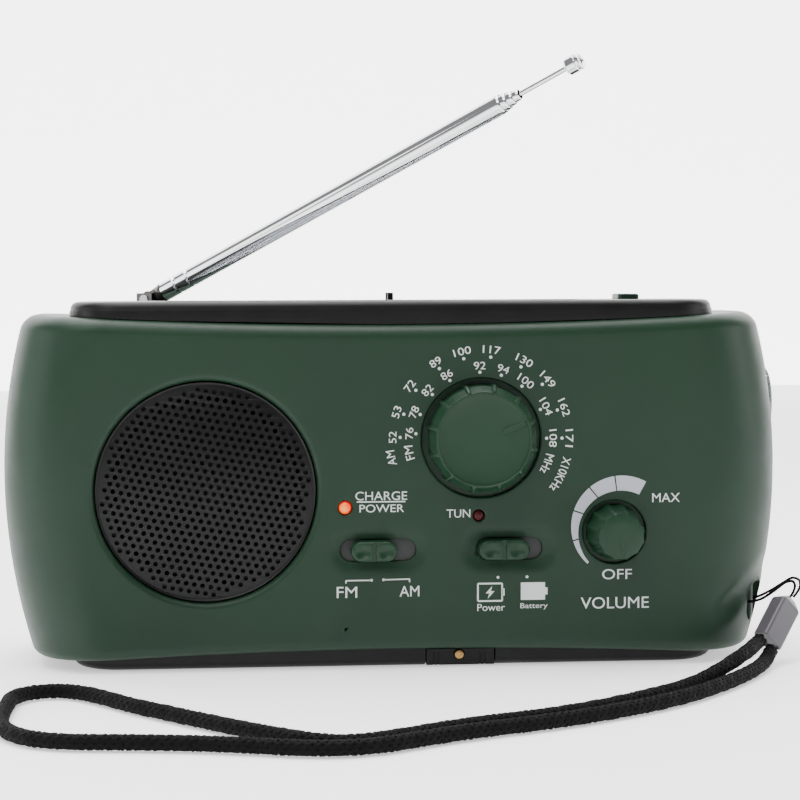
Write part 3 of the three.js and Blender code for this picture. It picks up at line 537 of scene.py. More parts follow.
def cords():
    """The braided wrist strap, the thin thread that ties it to the radio, and the ferrule between them."""
    strap_curve = catmull_rom(STRAP_ROUTE, 0.5)
    geometry = braid(strap_curve, STRAP_RADIUS, 12, 11, 0.52, 0.27)
    strap = piece("wrist_strap_braid", geometry, CORD, replaces=["wrist_strap"], sharp=60)
    thread_curve = catmull_rom(THREAD_ROUTE, 0.25)
    geometry = braid(thread_curve, THREAD_RADIUS, 4, 2.4, 0.27, 0.12, 6)
    thread = piece("lanyard_thread_twist", geometry, CORD, replaces=["lanyard_thread"],
                   sharp=60)
    fitting = ferrule()


FERRULE_NECK = Vector((89.8, -25, 14.2))
FERRULE_MOUTH = Vector((83.3, -31, 5.5))


def ferrule():
    """A flattened grey sleeve with chamfered shoulders, closed round both ends of the strap."""
    axis = FERRULE_MOUTH - FERRULE_NECK
    length = axis.length
    away = axis.normalized()
    wide = Vector((0.35, -0.75, 0)).cross(away).normalized()
    thick = away.cross(wide)
    sections = [(0, 1.3, 1.0), (0.25, 1.6, 1.25), (1.6, 3.0, 2.0), (2.1, 3.2, 2.15),
                (length - 0.3, 3.2, 2.15),
                (length, 3.1, 2.05), (length, 2.85, 1.8), (length - 0.6, 2.8, 1.75)]
    rings = [[FERRULE_NECK + away * along + wide * p.x + thick * p.y
              for p in rounded_rectangle(half_wide, half_thick, min(half_thick * 0.5, 0.9), 6)]
             for along, half_wide, half_thick in sections]
    return piece("ferrule_sleeve", loft(rings), FERRULE_GREY, replaces=["ferrule"],
                 sharp=30)


cords()


# ---------- cabinet ----------
def barrel_inset(z):
    """How far the sides pull in at a height."""
    return BARREL * ((z - WAIST) / BARREL_SPAN) ** 2


def flared(x, z):
    """The cabinet grows taller towards its ends."""
    halfway = (BODY_TOP + BODY_BOTTOM) / 2
    reach = (z - halfway) / (BODY_TOP - halfway)
    return z + reach * FLARE * (min(abs(x), FLARE_X) / FLARE_X) ** 2


def quarter_round(distance, radius):
    """The inset of a rounded edge, at a distance from the edge's face."""
    if distance >= radius:
        return 0
    return radius - math.sqrt(radius ** 2 - (radius - distance) ** 2)


def edge_steps(low, high, bottom_radius, top_radius, spacing):
    """Heights from low to high: close together on the rounded edges, evenly spaced between them."""
    arc = [1 - math.cos(math.pi / 2 * i / 8) for i in range(8)]
    bottom = [low + bottom_radius * part for part in arc] if bottom_radius else [low]
    top = [high - top_radius * part for part in reversed(arc)] if top_radius else [high]
    first = low + bottom_radius
    last = high - top_radius
    count = max(1, round((last - first) / spacing))
    straight = [first + (last - first) * i / count for i in range(count + 1)]
    if not bottom_radius:
        bottom = []
    if not top_radius:
        top = []
    return bottom + straight + top


def half_outline(inset, parting, steps_across):
    """The front half's plan outline, from the left parting line round the front to the right one."""
    half = HALF_WIDTH - inset
    depth = HALF_DEPTH - inset
    r = CORNER - inset
    flat = half - r
    arc_steps = 22
    points = [(-half, parting), (-half, (parting - depth + r) / 2), ]
    points += [(-flat - r * math.cos(math.pi / 2 * i / arc_steps),
                -depth + r - r * math.sin(math.pi / 2 * i / arc_steps))
               for i in range(arc_steps)]
    points += [(-flat + 2 * flat * i / steps_across, -depth) for i in range(steps_across)]
    points += [(flat + r * math.sin(math.pi / 2 * i / arc_steps),
                -depth + r - r * math.cos(math.pi / 2 * i / arc_steps))
               for i in range(arc_steps + 1)]
    points += [(half, (parting - depth + r) / 2), (half, parting)]
    return points, flat


def dish_depth(x, z):
    """The soft dish round each slide switch."""
    deepest = 0
    for switch in (BAND, SOURCE):
        across = max(abs(x - switch.x) - 6.2, 0)
        distance = math.hypot(across, z - switch.z)
        part = min(max((5.2 - distance) / 3.0, 0), 1)
        deepest = max(deepest, 0.65 * part * part * (3 - 2 * part))
    return deepest


GROOVE_START = Vector((70.5, 10.5))
GROOVE_END = Vector((86, 22.5))
GROOVE_HALF_WIDTH = 3.6
GROOVE_DEEPEST = 1.0


def groove_depth(x, z):
    """The soft finger groove that runs up to the lanyard pocket, in the lower right corner."""
    along = GROOVE_END - GROOVE_START
    offset = Vector((x, z)) - GROOVE_START
    part = min(max(offset.dot(along) / along.length_squared, 0), 1)
    distance = (offset - along * part).length
    fade = min(max((GROOVE_HALF_WIDTH - distance) / GROOVE_HALF_WIDTH, 0), 1)
    return GROOVE_DEEPEST * fade * fade * (3 - 2 * fade) * min(part * 3, 1)


def half_block(inset, parting, steps_across, heights, bottom_radius, top_radius, dished=False):
    """A closed block: the front half of the cabinet's form, `inset` inside its outer surface."""
    outline, flat = half_outline(inset, parting, steps_across)
    low = heights[0]
    high = heights[-1]
    vertices = []
    for z in heights:
        rounding = quarter_round(high - z, top_radius) + quarter_round(z - low, bottom_radius)
        side = barrel_inset(z) + rounding
        for x, y in outline:
            on_front = abs(x) <= flat + 1e-6
            new_x = x * (flat - side) / flat if on_front else x - math.copysign(side, x)
            new_y = y if y > parting - 1e-6 else y + rounding
            if dished:
                new_y += dish_depth(new_x, z) + groove_depth(new_x, z)
            vertices.append(Vector((new_x, new_y, flared(new_x, z))))
    columns = len(outline)
    faces = []
    for level in range(len(heights) - 1):
        for i in range(columns - 1):
            a = level * columns + i
            faces.append((a, a + 1, a + columns + 1, a + columns))
    left = [level * columns for level in range(len(heights))]
    right = [level * columns + columns - 1 for level in range(len(heights))]
    rims = []
    for level in (0, len(heights) - 1):
        start = level * columns
        inner = [start]
        for i in range(1, columns - 1):
            rim_point = vertices[start + i]
            if i < 3 or i > columns - 4:
                inner.append(start if i < 3 else start + columns - 1)
            else:
                inner.append(len(vertices))
                vertices.append(Vector((rim_point.x, parting, flared(rim_point.x, heights[level]))))
        inner.append(start + columns - 1)
        for i in range(columns - 1):
            corners = list(dict.fromkeys([start + i, start + i + 1, inner[i + 1], inner[i]]))
            if len(corners) > 2:
                faces.append(tuple(corners))
        rims.append(list(dict.fromkeys(inner)))
    parting_face = left + rims[1][1:-1] + list(reversed(right)) + list(reversed(rims[0][1:-1]))
    faces.append(tuple(parting_face))
    return vertices, faces


def mirrored(geometry):
    """Front to back."""
    vertices, faces = geometry
    return [Vector((v.x, -v.y, v.z)) for v in vertices], [tuple(reversed(face)) for face in faces]


def flared_cutter(outline, x, z, surface, depth, lip, outside=6, inwards=1):
    """A cutter along Y whose mouth opens in a quarter round of radius `lip`, to round the cut edge.
    outline(offset) gives its section, surface is the face's y, and inwards is the direction of the cut."""
    rings = []
    steps = 6
    stations = [(-outside, lip)]
    for i in range(steps + 1):
        down = lip * (1 - math.cos(math.pi / 2 * i / steps))
        stations.append((down, quarter_round(down, lip)))
    stations.append((depth, 0))
    for along, offset in stations:
        y = surface + inwards * along
        rings.append([Vector((x + p.x, y, z + p.y)) for p in outline(offset)])
    return loft(rings)


def round_cut(radius, x, z, depth, lip, surface=None, inwards=1, steps=72):
    face = FRONT if surface is None else surface
    return flared_cutter(lambda offset: circle(radius + offset, steps), x, z, face, depth, lip,
                         inwards=inwards)


def box_skin(low, high):
    xs, ys, zs = zip(low, high)
    rings = [[Vector((xs[0], ys[0], z)), Vector((xs[1], ys[0], z)), Vector((xs[1], ys[1], z)),
              Vector((xs[0], ys[1], z))]
             for z in zs]
    return loft(rings)


def bar(start, end, radius, steps=32, far_radius=None):
    start = Vector(start)
    end = Vector(end)
    length = (end - start).length
    far = radius if far_radius is None else far_radius
    return moved(lathe([[0, 0], [radius, 0], [far, length], [0, length]], steps),
                 pointing(end - start, start))


SCREW_PLACES = [(-72, 66), (66, 68), (-72, 16), (60, 10)]
SPEAKER_HOLE = 24.9
SPEAKER_LIP = 1.3
TUNING_WELL = 13.4
VOLUME_WELL = 7.15
SLOT_HALVES = {"band": 6.0, "source": 5.0}
SLOT_RADIUS = 2.5
BAY_LOW = Vector((1.3, -18.7, -2))
BAY_HIGH = Vector((51.7, 18.7, 10))
LANYARD = Vector((82.1, -16.7, 13))


def shared_cuts():
    """The openings that pass through both halves of the cabinet."""
    button = middle("light_button")
    flap_low, flap_high = box_mm("jack_flap")
    lens_hole = moved(lathe([[0, 0], [8.9, 0], [8.9, 17.2], [9.6, 18.4], [9.6, 26], [0, 26]], 72),
                      pointing((1, 0, 0), (70, LENS.y, LENS.z)))
    flap_seat = box_skin(Vector((flap_low.x - 0.3, flap_low.y - 0.3, flap_low.z - 0.3)),
                         Vector((96, flap_high.y + 0.3, flap_high.z + 0.3)))
    return [
        box_skin(BAY_LOW, BAY_HIGH),
        box_skin(Vector((button.x - 3.5, button.y - 2.6, 70)), Vector((button.x + 3.5, button.y + 2.6, 90))),
        lens_hole,
        box_skin(Vector((80, -9.4, 39)), Vector((96, 7.4, 46))),
        flap_seat,
    ]


def cabinet_half(parting, steps_across, dished):
    heights = edge_steps(BODY_BOTTOM, BODY_TOP, 2.5, 3.2, 0.95)
    outer = half_block(0, parting, steps_across, heights, 2.5, 3.2, dished)
    inner_heights = edge_steps(6.5, 75.5, 0, 0, 6)
    cavity = half_block(WALL, parting + 6, 12, inner_heights, 0, 0)
    return outer, cavity


def front_cabinet():
    outer, cavity = cabinet_half(-0.06, 150, True)
    body = mesh_object("front_cabinet_shell", outer, GREEN)
    carve(body, [cavity])
    slots = [flared_cutter(lambda offset, half=SLOT_HALVES[name]: obround(half, SLOT_RADIUS + offset),
                           switch.x, switch.z, FRONT + 0.6, 4, 0.3)
             for name, switch in (("band", BAND), ("source", SOURCE))]
    panel_cuts = gathered(
        round_cut(SPEAKER_HOLE, SPEAKER.x, SPEAKER.z, 8, SPEAKER_LIP, steps=120),
        round_cut(TUNING_WELL, TUNING.x, TUNING.z, 1.4, 0.5, steps=96),
        round_cut(VOLUME_WELL, VOLUME.x, VOLUME.z, 1.4, 0.4),
        round_cut(1.62, CHARGE_LED.x, CHARGE_LED.z, 4, 0.25, steps=40),
        round_cut(1.36, TUNING_LED.x, TUNING_LED.z, 4, 0.25, steps=40),
        *slots)
    pocket = moved(lathe([[4.8 * math.sin(math.pi * i / 24), -4.8 * math.cos(math.pi * i / 24)]
                          for i in range(25)], 40),
                   Matrix.Translation((83.5, -17.5, LANYARD.z)))
    shafts = gathered(*[bar((spot.x, FRONT - 4, spot.z), (spot.x, FRONT + 4, spot.z), 3.15)
                        for spot in (TUNING, VOLUME)])
    carve(body, [panel_cuts, shafts, *shared_cuts()])
    pocket_wall = moved(lathe([[6 * math.sin(math.pi * i / 20), -6 * math.cos(math.pi * i / 20)]
                               for i in range(21)], 32),
                        Matrix.Translation((82.6, -16.6, LANYARD.z)))
    liner = mesh_object("liner", pocket_wall, GREEN)
    carve(liner, [outer], "INTERSECT")
    carve(liner, [pocket])
    piece("lanyard_pocket", liner, GREEN)
    carve(body, [pocket])
    piece("front_cabinet_shell", body, GREEN, replaces=["front_cabinet"], sharp=35)
    post = moved(lathe([[0, 8.4], [1.4, 8.4], [1.2, 9.6], [1.2, 16.4], [1.4, 17.6], [0, 17.6]], 24),
                 Matrix.Translation((LANYARD.x, LANYARD.y, 0)))
    bar_piece = mesh_object("lanyard_post", post, GREEN)
    carve(bar_piece, [outer], "INTERSECT")
    piece("lanyard_post", bar_piece, GREEN)


CRANK_DISH = 31
CRANK_FLOOR = 15.5


def rear_cabinet():
    outer, cavity = cabinet_half(-0.06, 90, False)
    body = mesh_object("rear_cabinet_shell", mirrored(outer), GREEN)
    dish_wall = bar((CRANK.x, CRANK_FLOOR - 2, CRANK.z), (CRANK.x, 40, CRANK.z), CRANK_DISH + 2, 72)
    hollow = mesh_object("hollow", mirrored(cavity), GREEN)
    carve(hollow, [dish_wall])
    hollow_skin = ([v.co / MM for v in hollow.data.vertices],
                   [tuple(p.vertices) for p in hollow.data.polygons])
    bpy.data.objects.remove(hollow)
    carve(body, [hollow_skin])
    rear = HALF_DEPTH
    dish = flared_cutter(lambda offset: circle(CRANK_DISH + offset, 120), CRANK.x, CRANK.z, rear,
                         rear - CRANK_FLOOR, 1.2,
                         inwards=-1)
    screw_wells = gathered(*[flared_cutter(lambda offset: circle(3.2 + offset, 40), x, z, rear, 4.2, 0.4,
                                           inwards=-1)
                             for x, z in SCREW_PLACES])
    seat = bar((PIVOT.x, PIVOT.y, 76), (PIVOT.x, PIVOT.y, 90), 3.9, 48)
    axle = bar((CRANK.x, 5, CRANK.z), (CRANK.x, 40, CRANK.z), 3.2, 48)
    carve(body, [dish, screw_wells, seat, axle, *shared_cuts()])
    piece("rear_cabinet_shell", body, GREEN, replaces=["rear_cabinet"], sharp=35)


front_cabinet()
rear_cabinet()


# ---------- controls on the front ----------
def soft_step(part):
    part = min(max(part, 0), 1)
    return part * part * (3 - 2 * part)


def forwards(x, y, z):
    """The matrix for a piece that is built towards +Z and faces the front."""
    return pointing((0, -1, 0), (x, y, z))


def ribbed_ring(radius, distance, rib, ribs, phase, steps=432):
    """A ring with narrow raised ribs, each about 1.1 wide with sloping flanks."""
    ring = []
    half_top = 0.22 / TUNING_SKIRT
    flank = 0.4 / TUNING_SKIRT
    for i in range(steps):
        turn = math.tau * i / steps
        from_rib = abs(((turn - phase) * ribs / math.tau + 0.5) % 1 - 0.5) * math.tau / ribs
        r = radius + rib * soft_step(1 - (from_rib - half_top) / flank)
        ring.append(Vector((r * math.cos(turn), r * math.sin(turn), distance)))
    return ring


def fluted_ring(radius, distance, depth, flutes, steps=288):
    """A ring with shallow concave flutes."""
    ring = []
    for i in range(steps):
        turn = math.tau * i / steps
        r = radius - depth * abs(math.cos(turn * flutes / 2)) ** 1.5
        ring.append(Vector((r * math.cos(turn), r * math.sin(turn), distance)))
    return ring


def pointer_bar(start, end, half_width, low, high, angle):
    half = (end - start) / 2
    rings = []
    for inset, distance in ((0, low), (0, high - 0.15), (0.15, high)):
        outline = rounded_rectangle(half - inset, half_width - inset, half_width * 0.6 - inset * 0.6, 4)
        rings.append([Vector((p.x + start + half, p.y, distance)) for p in outline])
    return moved(loft(rings), Matrix.Rotation(math.radians(angle), 4, "Z"))


KNOB_BACK = FRONT + 1.1
TUNING_SKIRT = 12


def shaft(length):
    return lathe([[0, -length], [3, -length], [3, 0.2], [0, 0.2]], 32)


def tuning_knob():
    """A tapered knob with twelve ribs, a raised bright rim, a dished face and a pointer."""
    profile = [(0, 11.4, 0), (0, 11.8, 0.4), (0.3, 11.95, 0.5), (5.0, 11.95, 0.5), (5.25, 11.85, 0.5),
               (6.9, 10.85, 0.5),
               (7.15, 10.75, 0.3), (7.27, 10.65, 0.05), (7.3, 10.55, 0), (7.3, 10.4, 0), (7.2, 10.28, 0),
               (6.95, 10.2, 0),
               (6.85, 9.6, 0), (6.7, 7, 0), (6.62, 4, 0), (6.6, 1.5, 0)]
    skin = loft([ribbed_ring(r, z, rib, 12, math.radians(18)) for z, r, rib in profile])
    bar_skin = pointer_bar(4.65, 10.1, 0.65, 6.4, 7.1, 20)
    geometry = moved(gathered(skin, bar_skin, shaft(10)), forwards(TUNING.x, KNOB_BACK, TUNING.z))
    piece("tuning_knob_skirt", geometry, KNOB_GREEN, body="tuning_knob",
          replaces=["tuning_knob"], sharp=32)


def volume_knob():
    profile = [(0, 6.2, 0), (0, 6.4, 0.3), (0.3, 6.5, 0.55), (9.3, 5.42, 0.45), (9.7, 5.3, 0.3),
               (9.92, 5.1, 0.1),
               (10, 4.85, 0), (10, 2.5, 0)]
    skin = loft([fluted_ring(r, z, depth, 12) for z, r, depth in profile])
    bar_skin = pointer_bar(1.6, 4.5, 0.35, 9.6, 10.25, -82)
    geometry = moved(gathered(skin, bar_skin, shaft(10)), forwards(VOLUME.x, KNOB_BACK, VOLUME.z))
    piece("volume_knob_skirt", geometry, KNOB_GREEN, body="volume_knob",
          replaces=["volume_knob"], sharp=32)


def switch_cap(name):
    """A rounded cap, dished on each side of a groove, on a stem that reaches the switch."""
    low, high = box_mm(name)
    centre = (low + high) / 2
    face = low.y
    half_length = (high.x - low.x) / 2 - 2.3
    stations = [(FRONT + 1, 0.0), (face + 0.75, 0.0), (face + 0.4, 0.09), (face + 0.15, 0.28), (face, 0.62)]
    rings = [[Vector((centre.x + p.x, y, centre.z + p.y)) for p in obround(half_length, 2.3 - inset, 20)]
             for y, inset in stations]
    cap = mesh_object(name + "_top", loft(rings), KNOB_GREEN)
    ball = lathe([[6 * math.sin(math.pi * i / 24), -6 * math.cos(math.pi * i / 24)] for i in range(25)], 48)
    dishes = []
    for side in (-1, 1):
        place = Matrix.Translation((centre.x + side * (half_length / 2 + 1.15), face - 5.35, centre.z))
        dishes.append(moved(ball, place @ Matrix.Diagonal((0.72, 1, 0.62, 1))))
    groove = box_skin((centre.x - 0.5, face - 1, centre.z - 4), (centre.x + 0.5, face + 0.4, centre.z + 4))
    carve(cap, dishes + [groove])
    stem = box_skin((centre.x - 1.2, FRONT + 0.8, centre.z - 1), (centre.x + 1.2, high.y, centre.z + 1))
    carve(cap, [stem], "UNION")
    piece(name + "_top", cap, KNOB_GREEN, body=name, replaces=[name], sharp=30)


def slot_floor(name, switch, half_length):
    """The dark plate at the bottom of a switch's slot, with a way for the cap's stem."""
    rings = [[Vector((switch.x + p.x, y, switch.z + p.y)) for p in obround(half_length, SLOT_RADIUS + 0.1)]
             for y in (FRONT + 1.35, FRONT + 2.1)]
    plate = mesh_object(name + "_slot_floor", loft(rings), DARK_FLOOR)
    carve(plate, [box_skin((switch.x - 3.4, FRONT, switch.z - 1.1),
                           (switch.x + 3.4, FRONT + 4, switch.z + 1.1))])
    piece(name + "_slot_floor", plate, DARK_FLOOR)


def lamp(name, centre, radius, material):
    dome = [[0, 0], [radius + 0.35, 0], [radius + 0.35, 0.9], [radius, 0.95], [radius, 3.3]]
    dome += [[radius * math.cos(a), 3.3 + radius * 0.85 * math.sin(a)]
             for a in (math.radians(deg) for deg in (15, 30, 45, 60, 75, 90))]
    dome[-1][0] = 0
    geometry = moved(lathe(dome, 40), forwards(centre.x, -23.4, centre.z))
    piece(name + "_dome", geometry, material, replaces=[name])


def grille():
    """A domed sheet of dark perforated metal, with round holes on a sloping six-sided lattice."""
    radius = 24.3
    rise = 3
    pitch = 1.85
    slope = math.radians(-10)
    curve = bpy.data.curves.new("grille", "CURVE")
    curve.dimensions = "2D"
    curve.fill_mode = "BOTH"
    curve.extrude = 0.22

    def ring(x, z, r, steps):
        spline = curve.splines.new("POLY")
        spline.points.add(steps - 1)
        spline.use_cyclic_u = True
        for point, place in zip(spline.points, circle(r, steps)):
            point.co = (x + place.x, z + place.y, 0, 1)

    ring(0, 0, radius, 144)
    reach = int(radius / pitch) + 2
    for row in range(-reach, reach + 1):
        for column in range(-reach, reach + 1):
            u = pitch * (column + 0.5 * (row % 2))
            v = pitch * math.sqrt(0.75) * row
            x = u * math.cos(slope) - v * math.sin(slope)
            z = u * math.sin(slope) + v * math.cos(slope)
            if math.hypot(x, z) < radius - 1.15:
                ring(x, z, 0.55, 10)
    sheet = bpy.data.objects.new("grille", curve)
    bpy.context.scene.collection.objects.link(sheet)
    mesh = bpy.data.meshes.new_from_object(sheet.evaluated_get(bpy.context.evaluated_depsgraph_get()))
    vertices = []
    for vertex in mesh.vertices:
        part = math.hypot(vertex.co.x, vertex.co.y) / radius
        dome = rise * (1 - part ** 2)
        vertices.append(Vector((vertex.co.x, vertex.co.y, vertex.co.z + dome)))
    geometry = moved((vertices, [tuple(p.vertices) for p in mesh.polygons]),
                     forwards(SPEAKER.x, -25.8, SPEAKER.z))
    bpy.data.objects.remove(sheet)
    rim = moved(lathe([[24.0, -0.5], [24.75, -0.5], [24.75, 0.35], [24.5, 0.6], [24.1, 0.35]], 144,
                      closed=True),
                forwards(SPEAKER.x, -25.8, SPEAKER.z))
    piece("speaker_grille_sheet", geometry, GRILLE, replaces=["speaker_grille"], sharp=50)
    piece("speaker_grille_rim", rim, GRILLE, sharp=50)


def front_controls():
    tuning_knob()
    volume_knob()
    for name, switch in (("band", BAND), ("source", SOURCE)):
        switch_cap(name + "_switch_cap")
        slot_floor(name, switch, SLOT_HALVES[name])
    lamp("charge_led", CHARGE_LED, 1.5, AMBER)
    lamp("tuning_led", TUNING_LED, 1.25, RED)
    grille()


# ---------- print on the front ----------
PRINT_DEPTH = 0.03


def flat_text(text, width, height, bold=0.0):
    """Lettering in the local X-Y plane, centred on the origin and stretched to a size."""
    curve = bpy.data.curves.new("lettering", "FONT")
    curve.body = text
    curve.offset = bold
    curve.extrude = 0.02
    curve.resolution_u = 4
    holder = bpy.data.objects.new("lettering", curve)
    bpy.context.scene.collection.objects.link(holder)
    mesh = bpy.data.meshes.new_from_object(holder.evaluated_get(bpy.context.evaluated_depsgraph_get()))
    xs = [v.co.x for v in mesh.vertices]
    ys = [v.co.y for v in mesh.vertices]
    across = width / (max(xs) - min(xs))
    upwards = height / (max(ys) - min(ys))
    vertices = [Vector(((v.co.x - (max(xs) + min(xs)) / 2) * across,
                        (v.co.y - (max(ys) + min(ys)) / 2) * upwards,
                        math.copysign(PRINT_DEPTH, v.co.z))) for v in mesh.vertices]
    faces = [tuple(p.vertices) for p in mesh.polygons]
    bpy.data.objects.remove(holder)
    return vertices, faces


def flat_shape(outline):
    """A thin printed shape from its outline."""
    return loft([[Vector((p[0], p[1], w)) for p in outline] for w in (-PRINT_DEPTH, PRINT_DEPTH)])


def stroke(start, end, width=0.3):
    """A straight printed line."""
    start = Vector(start)
    end = Vector(end)
    aside = (end - start).normalized().orthogonal() * (width / 2)
    return flat_shape([start - aside, end - aside, end + aside, start + aside])


def dot(x, z, diameter=0.62):
    return flat_shape([Vector((x, z)) + p for p in circle(diameter / 2, 20)])


def at(geometry, x, z):
    return moved(geometry, Matrix.Translation((x, z, 0)))


def bent(geometry, centre, radius, angle):
    """Lettering bent round a dial: `angle` in degrees, its baseline side towards the centre."""
    vertices, faces = geometry
    placed = []
    for v in vertices:
        turn = math.radians(angle) - v.x / radius
        r = radius + v.y
        placed.append(Vector((centre.x + r * math.cos(turn), centre.z + r * math.sin(turn), v.z)))
    return placed, faces


def printed(name, geometries, material):
    piece(name, moved(gathered(*geometries), forwards(0, FRONT - 0.012, 0)), material, sharp=40)


DIGIT = 1.32
AM_MARKS = [("52", 179), ("53", 162.5), ("72", 143.6), ("89", 121), ("100", 102.4), ("117", 83.2),
            ("130", 60.6),
            ("149", 40.9), ("162", 19.7), ("171", -0.6)]
FM_MARKS = [("76", 175.7), ("78", 158.5), ("82", 138.2), ("86", 118.5), ("92", 91.1), ("94", 72.1),
            ("100", 51.5),
            ("104", 25.3), ("108", -0.7)]


def dial():
    """Two rows of station numbers round the tuning knob, each number with its dot."""
    marks = []
    for scale, dots, numbers in ((AM_MARKS, 18.3, 20.0), (FM_MARKS, 14.8, 16.3)):
        for text, angle in scale:
            marks.append(bent(flat_text(text, DIGIT * len(text), 1.7), TUNING, numbers, angle))
            spot = math.radians(angle)
            marks.append(dot(TUNING.x + dots * math.cos(spot), TUNING.z + dots * math.sin(spot), 0.7))
    for text, width, radius, angle in (("AM", 3.4, 20.8, 192), ("X10KHz", 8.1, 20, -24.8),
                                       ("FM", 3.2, 16.6, 191),
                                       ("MHz", 4.4, 16.1, -21.7)):
        marks.append(bent(flat_text(text, width, 1.9), TUNING, radius, angle))
    printed("dial_print", marks, WHITE_PRINT)


LABELS = [("CHARGE", -3.99, 39.31, 11.63, 1.94), ("POWER", -3.9, 36.5, 10, 1.74),
          ("FM", -11.81, 17.67, 4.59, 2.49),
          ("AM", 2.27, 17.73, 4.44, 2.4), ("TUN", 13.39, 35.14, 5.35, 1.85),
          ("Power", 20.76, 13.77, 6.29, 1.6),
          ("Battery", 30.5, 13.85, 6.18, 1.51), ("MAX", 60.68, 38.19, 6.34, 2.03),
          ("OFF", 49.48, 20.9, 6.79, 2.31),
          ("VOLUME", 48.97, 14.4, 15.57, 2.6)]


def battery_symbol(x, z, filled):
    """A battery on its side with a terminal at the right, filled, or outlined round a bolt."""
    half_x, half_z = 2.75, 1.98
    nub = flat_shape([(half_x, -0.8), (half_x + 0.55, -0.8), (half_x + 0.55, 0.8), (half_x, 0.8)])
    if filled:
        parts = [flat_shape([(-half_x, -half_z), (half_x, -half_z), (half_x, half_z), (-half_x, half_z)]),
                 nub]
    else:
        corners = [(-half_x, -half_z), (half_x, -half_z), (half_x, half_z), (-half_x, half_z)]
        parts = [stroke(a, b, 0.38) for a, b in zip(corners, corners[1:] + corners[:1])]
        bolt = [(0.5, 1.4), (-1.0, -0.25), (-0.15, -0.25), (-0.5, -1.4), (1.0, 0.25), (0.15, 0.25)]
        parts += [nub, flat_shape(bolt)]
    return [at(part, x - 0.27, z) for part in parts]


def panel_print():
    marks = [at(flat_text(text, width, height), x, z) for text, x, z, width, height in LABELS]
    marks += [stroke((-9.5, 37.99), (1.42, 37.99), 0.28)]
    for start, end in (((-12.02, 19.69), (-12.02, 20.38)), ((-12.02, 20.3), (-6.28, 20.31)),
                       ((-3.55, 20.38), (2.29, 20.47)), ((2.29, 20.55), (2.29, 19.8))):
        marks.append(stroke(start, end, 0.28))
    marks += [dot(x, z) for x, z in ((-6.28, 20.31), (-3.55, 20.38), (22.33, 20.56), (28.92, 20.58))]
    marks += battery_symbol(20.78, 17.2, False)
    marks += battery_symbol(30.54, 17.33, True)
    printed("panel_print", marks, WHITE_PRINT)


CRESCENT_OUTER = Vector((50.5, 31.8))
CRESCENT_OUTER_RADIUS = 11.5
CRESCENT_INNER = Vector((50.3, 30.2))
CRESCENT_INNER_RADIUS = 9.7
CRESCENT_BREAKS = [228, 196, 161.5, 129.5, 97.7, 60]
CRESCENT_GAP = -0.85


def crescent():
    """The volume scale: a crescent in five segments, growing wider towards its loud end."""
    offset = CRESCENT_OUTER - CRESCENT_INNER
    segments = []
    for start, end in zip(CRESCENT_BREAKS, CRESCENT_BREAKS[1:]):
        outer = []
        inner = []
        steps = 12
        for i in range(steps + 1):
            turn = math.radians(start + CRESCENT_GAP + (end - start - 2 * CRESCENT_GAP) * i / steps)
            away = Vector((math.cos(turn), math.sin(turn)))
            along = away.dot(offset)
            reach = -along + math.sqrt(along ** 2 - offset.length_squared + CRESCENT_INNER_RADIUS ** 2)
            outer.append(CRESCENT_OUTER + away * CRESCENT_OUTER_RADIUS)
            inner.append(CRESCENT_OUTER + away * reach)
        segments.append(flat_shape(outer + inner[::-1]))
    printed("volume_scale_print", segments, GREY_PRINT)


front_controls()
dial()
panel_print()
crescent()


# ---------- top cover ----------
def plan(half_x, low_y, high_y, radius, z, steps=14):
    """A rounded rectangle at a height; z may be a number or a rule of x."""
    middle_y = (low_y + high_y) / 2
    corners = rounded_rectangle(half_x, (high_y - low_y) / 2, radius, steps)
    outline = []
    for start, end in zip(corners, corners[1:] + corners[:1]):
        pieces = max(1, round((end - start).length / 4))
        outline += [start.lerp(end, i / pieces) for i in range(pieces)]
    return [Vector((p.x, p.y + middle_y, z(p.x) if callable(z) else z)) for p in outline]


SOLAR_LOW, SOLAR_HIGH = box_mm("solar_cell")
BUTTON_LOW, BUTTON_HIGH = box_mm("light_button")
COVER_LOW, COVER_HIGH = box_mm("top_cover")
COVER_ROUND = 1.7
COVER_CORNER = 11


def top_cover():
    """A black cover with a rounded edge, a sunk deck for the solar cell and a hole for the button."""
    top = COVER_HIGH.z
    rings = [plan(COVER_HIGH.x, COVER_LOW.y, COVER_HIGH.y, COVER_CORNER,
                  lambda x: flared(x, BODY_TOP) + 0.1)]
    rings.append(plan(COVER_HIGH.x, COVER_LOW.y, COVER_HIGH.y, COVER_CORNER, top - COVER_ROUND - 0.6))
    for i in range(9):
        rise = COVER_ROUND * math.sin(math.pi / 2 * i / 8)
        inset = COVER_ROUND * (1 - math.cos(math.pi / 2 * i / 8)) + 0.25
        rings.append(plan(COVER_HIGH.x - inset, COVER_LOW.y + inset, COVER_HIGH.y - inset,
                          COVER_CORNER - inset,
                          top - COVER_ROUND + rise))
    cover = mesh_object("top_cover_shell", loft(rings), BLACK)
    deck = loft([[Vector((p.x + (SOLAR_LOW.x + SOLAR_HIGH.x) / 2, p.y + (SOLAR_LOW.y + SOLAR_HIGH.y) / 2, z))
                  for p in rounded_rectangle((SOLAR_HIGH.x - SOLAR_LOW.x) / 2 + 2 + lip,
                                             (SOLAR_HIGH.y - SOLAR_LOW.y) / 2 + 2 + lip, 1 + lip)]
                 for z, lip in ((80.6, 0), (top - 0.35, 0), (top - 0.1, 0.12), (top, 0.4), (90, 0.4))])
    way = box_skin((BUTTON_LOW.x - 0.2, BUTTON_LOW.y - 0.2, 70),
                   (BUTTON_HIGH.x + 0.2, BUTTON_HIGH.y + 0.2, 90))
    carve(cover, [deck, way])
    piece("top_cover_shell", cover, BLACK, replaces=["top_cover"], sharp=32)


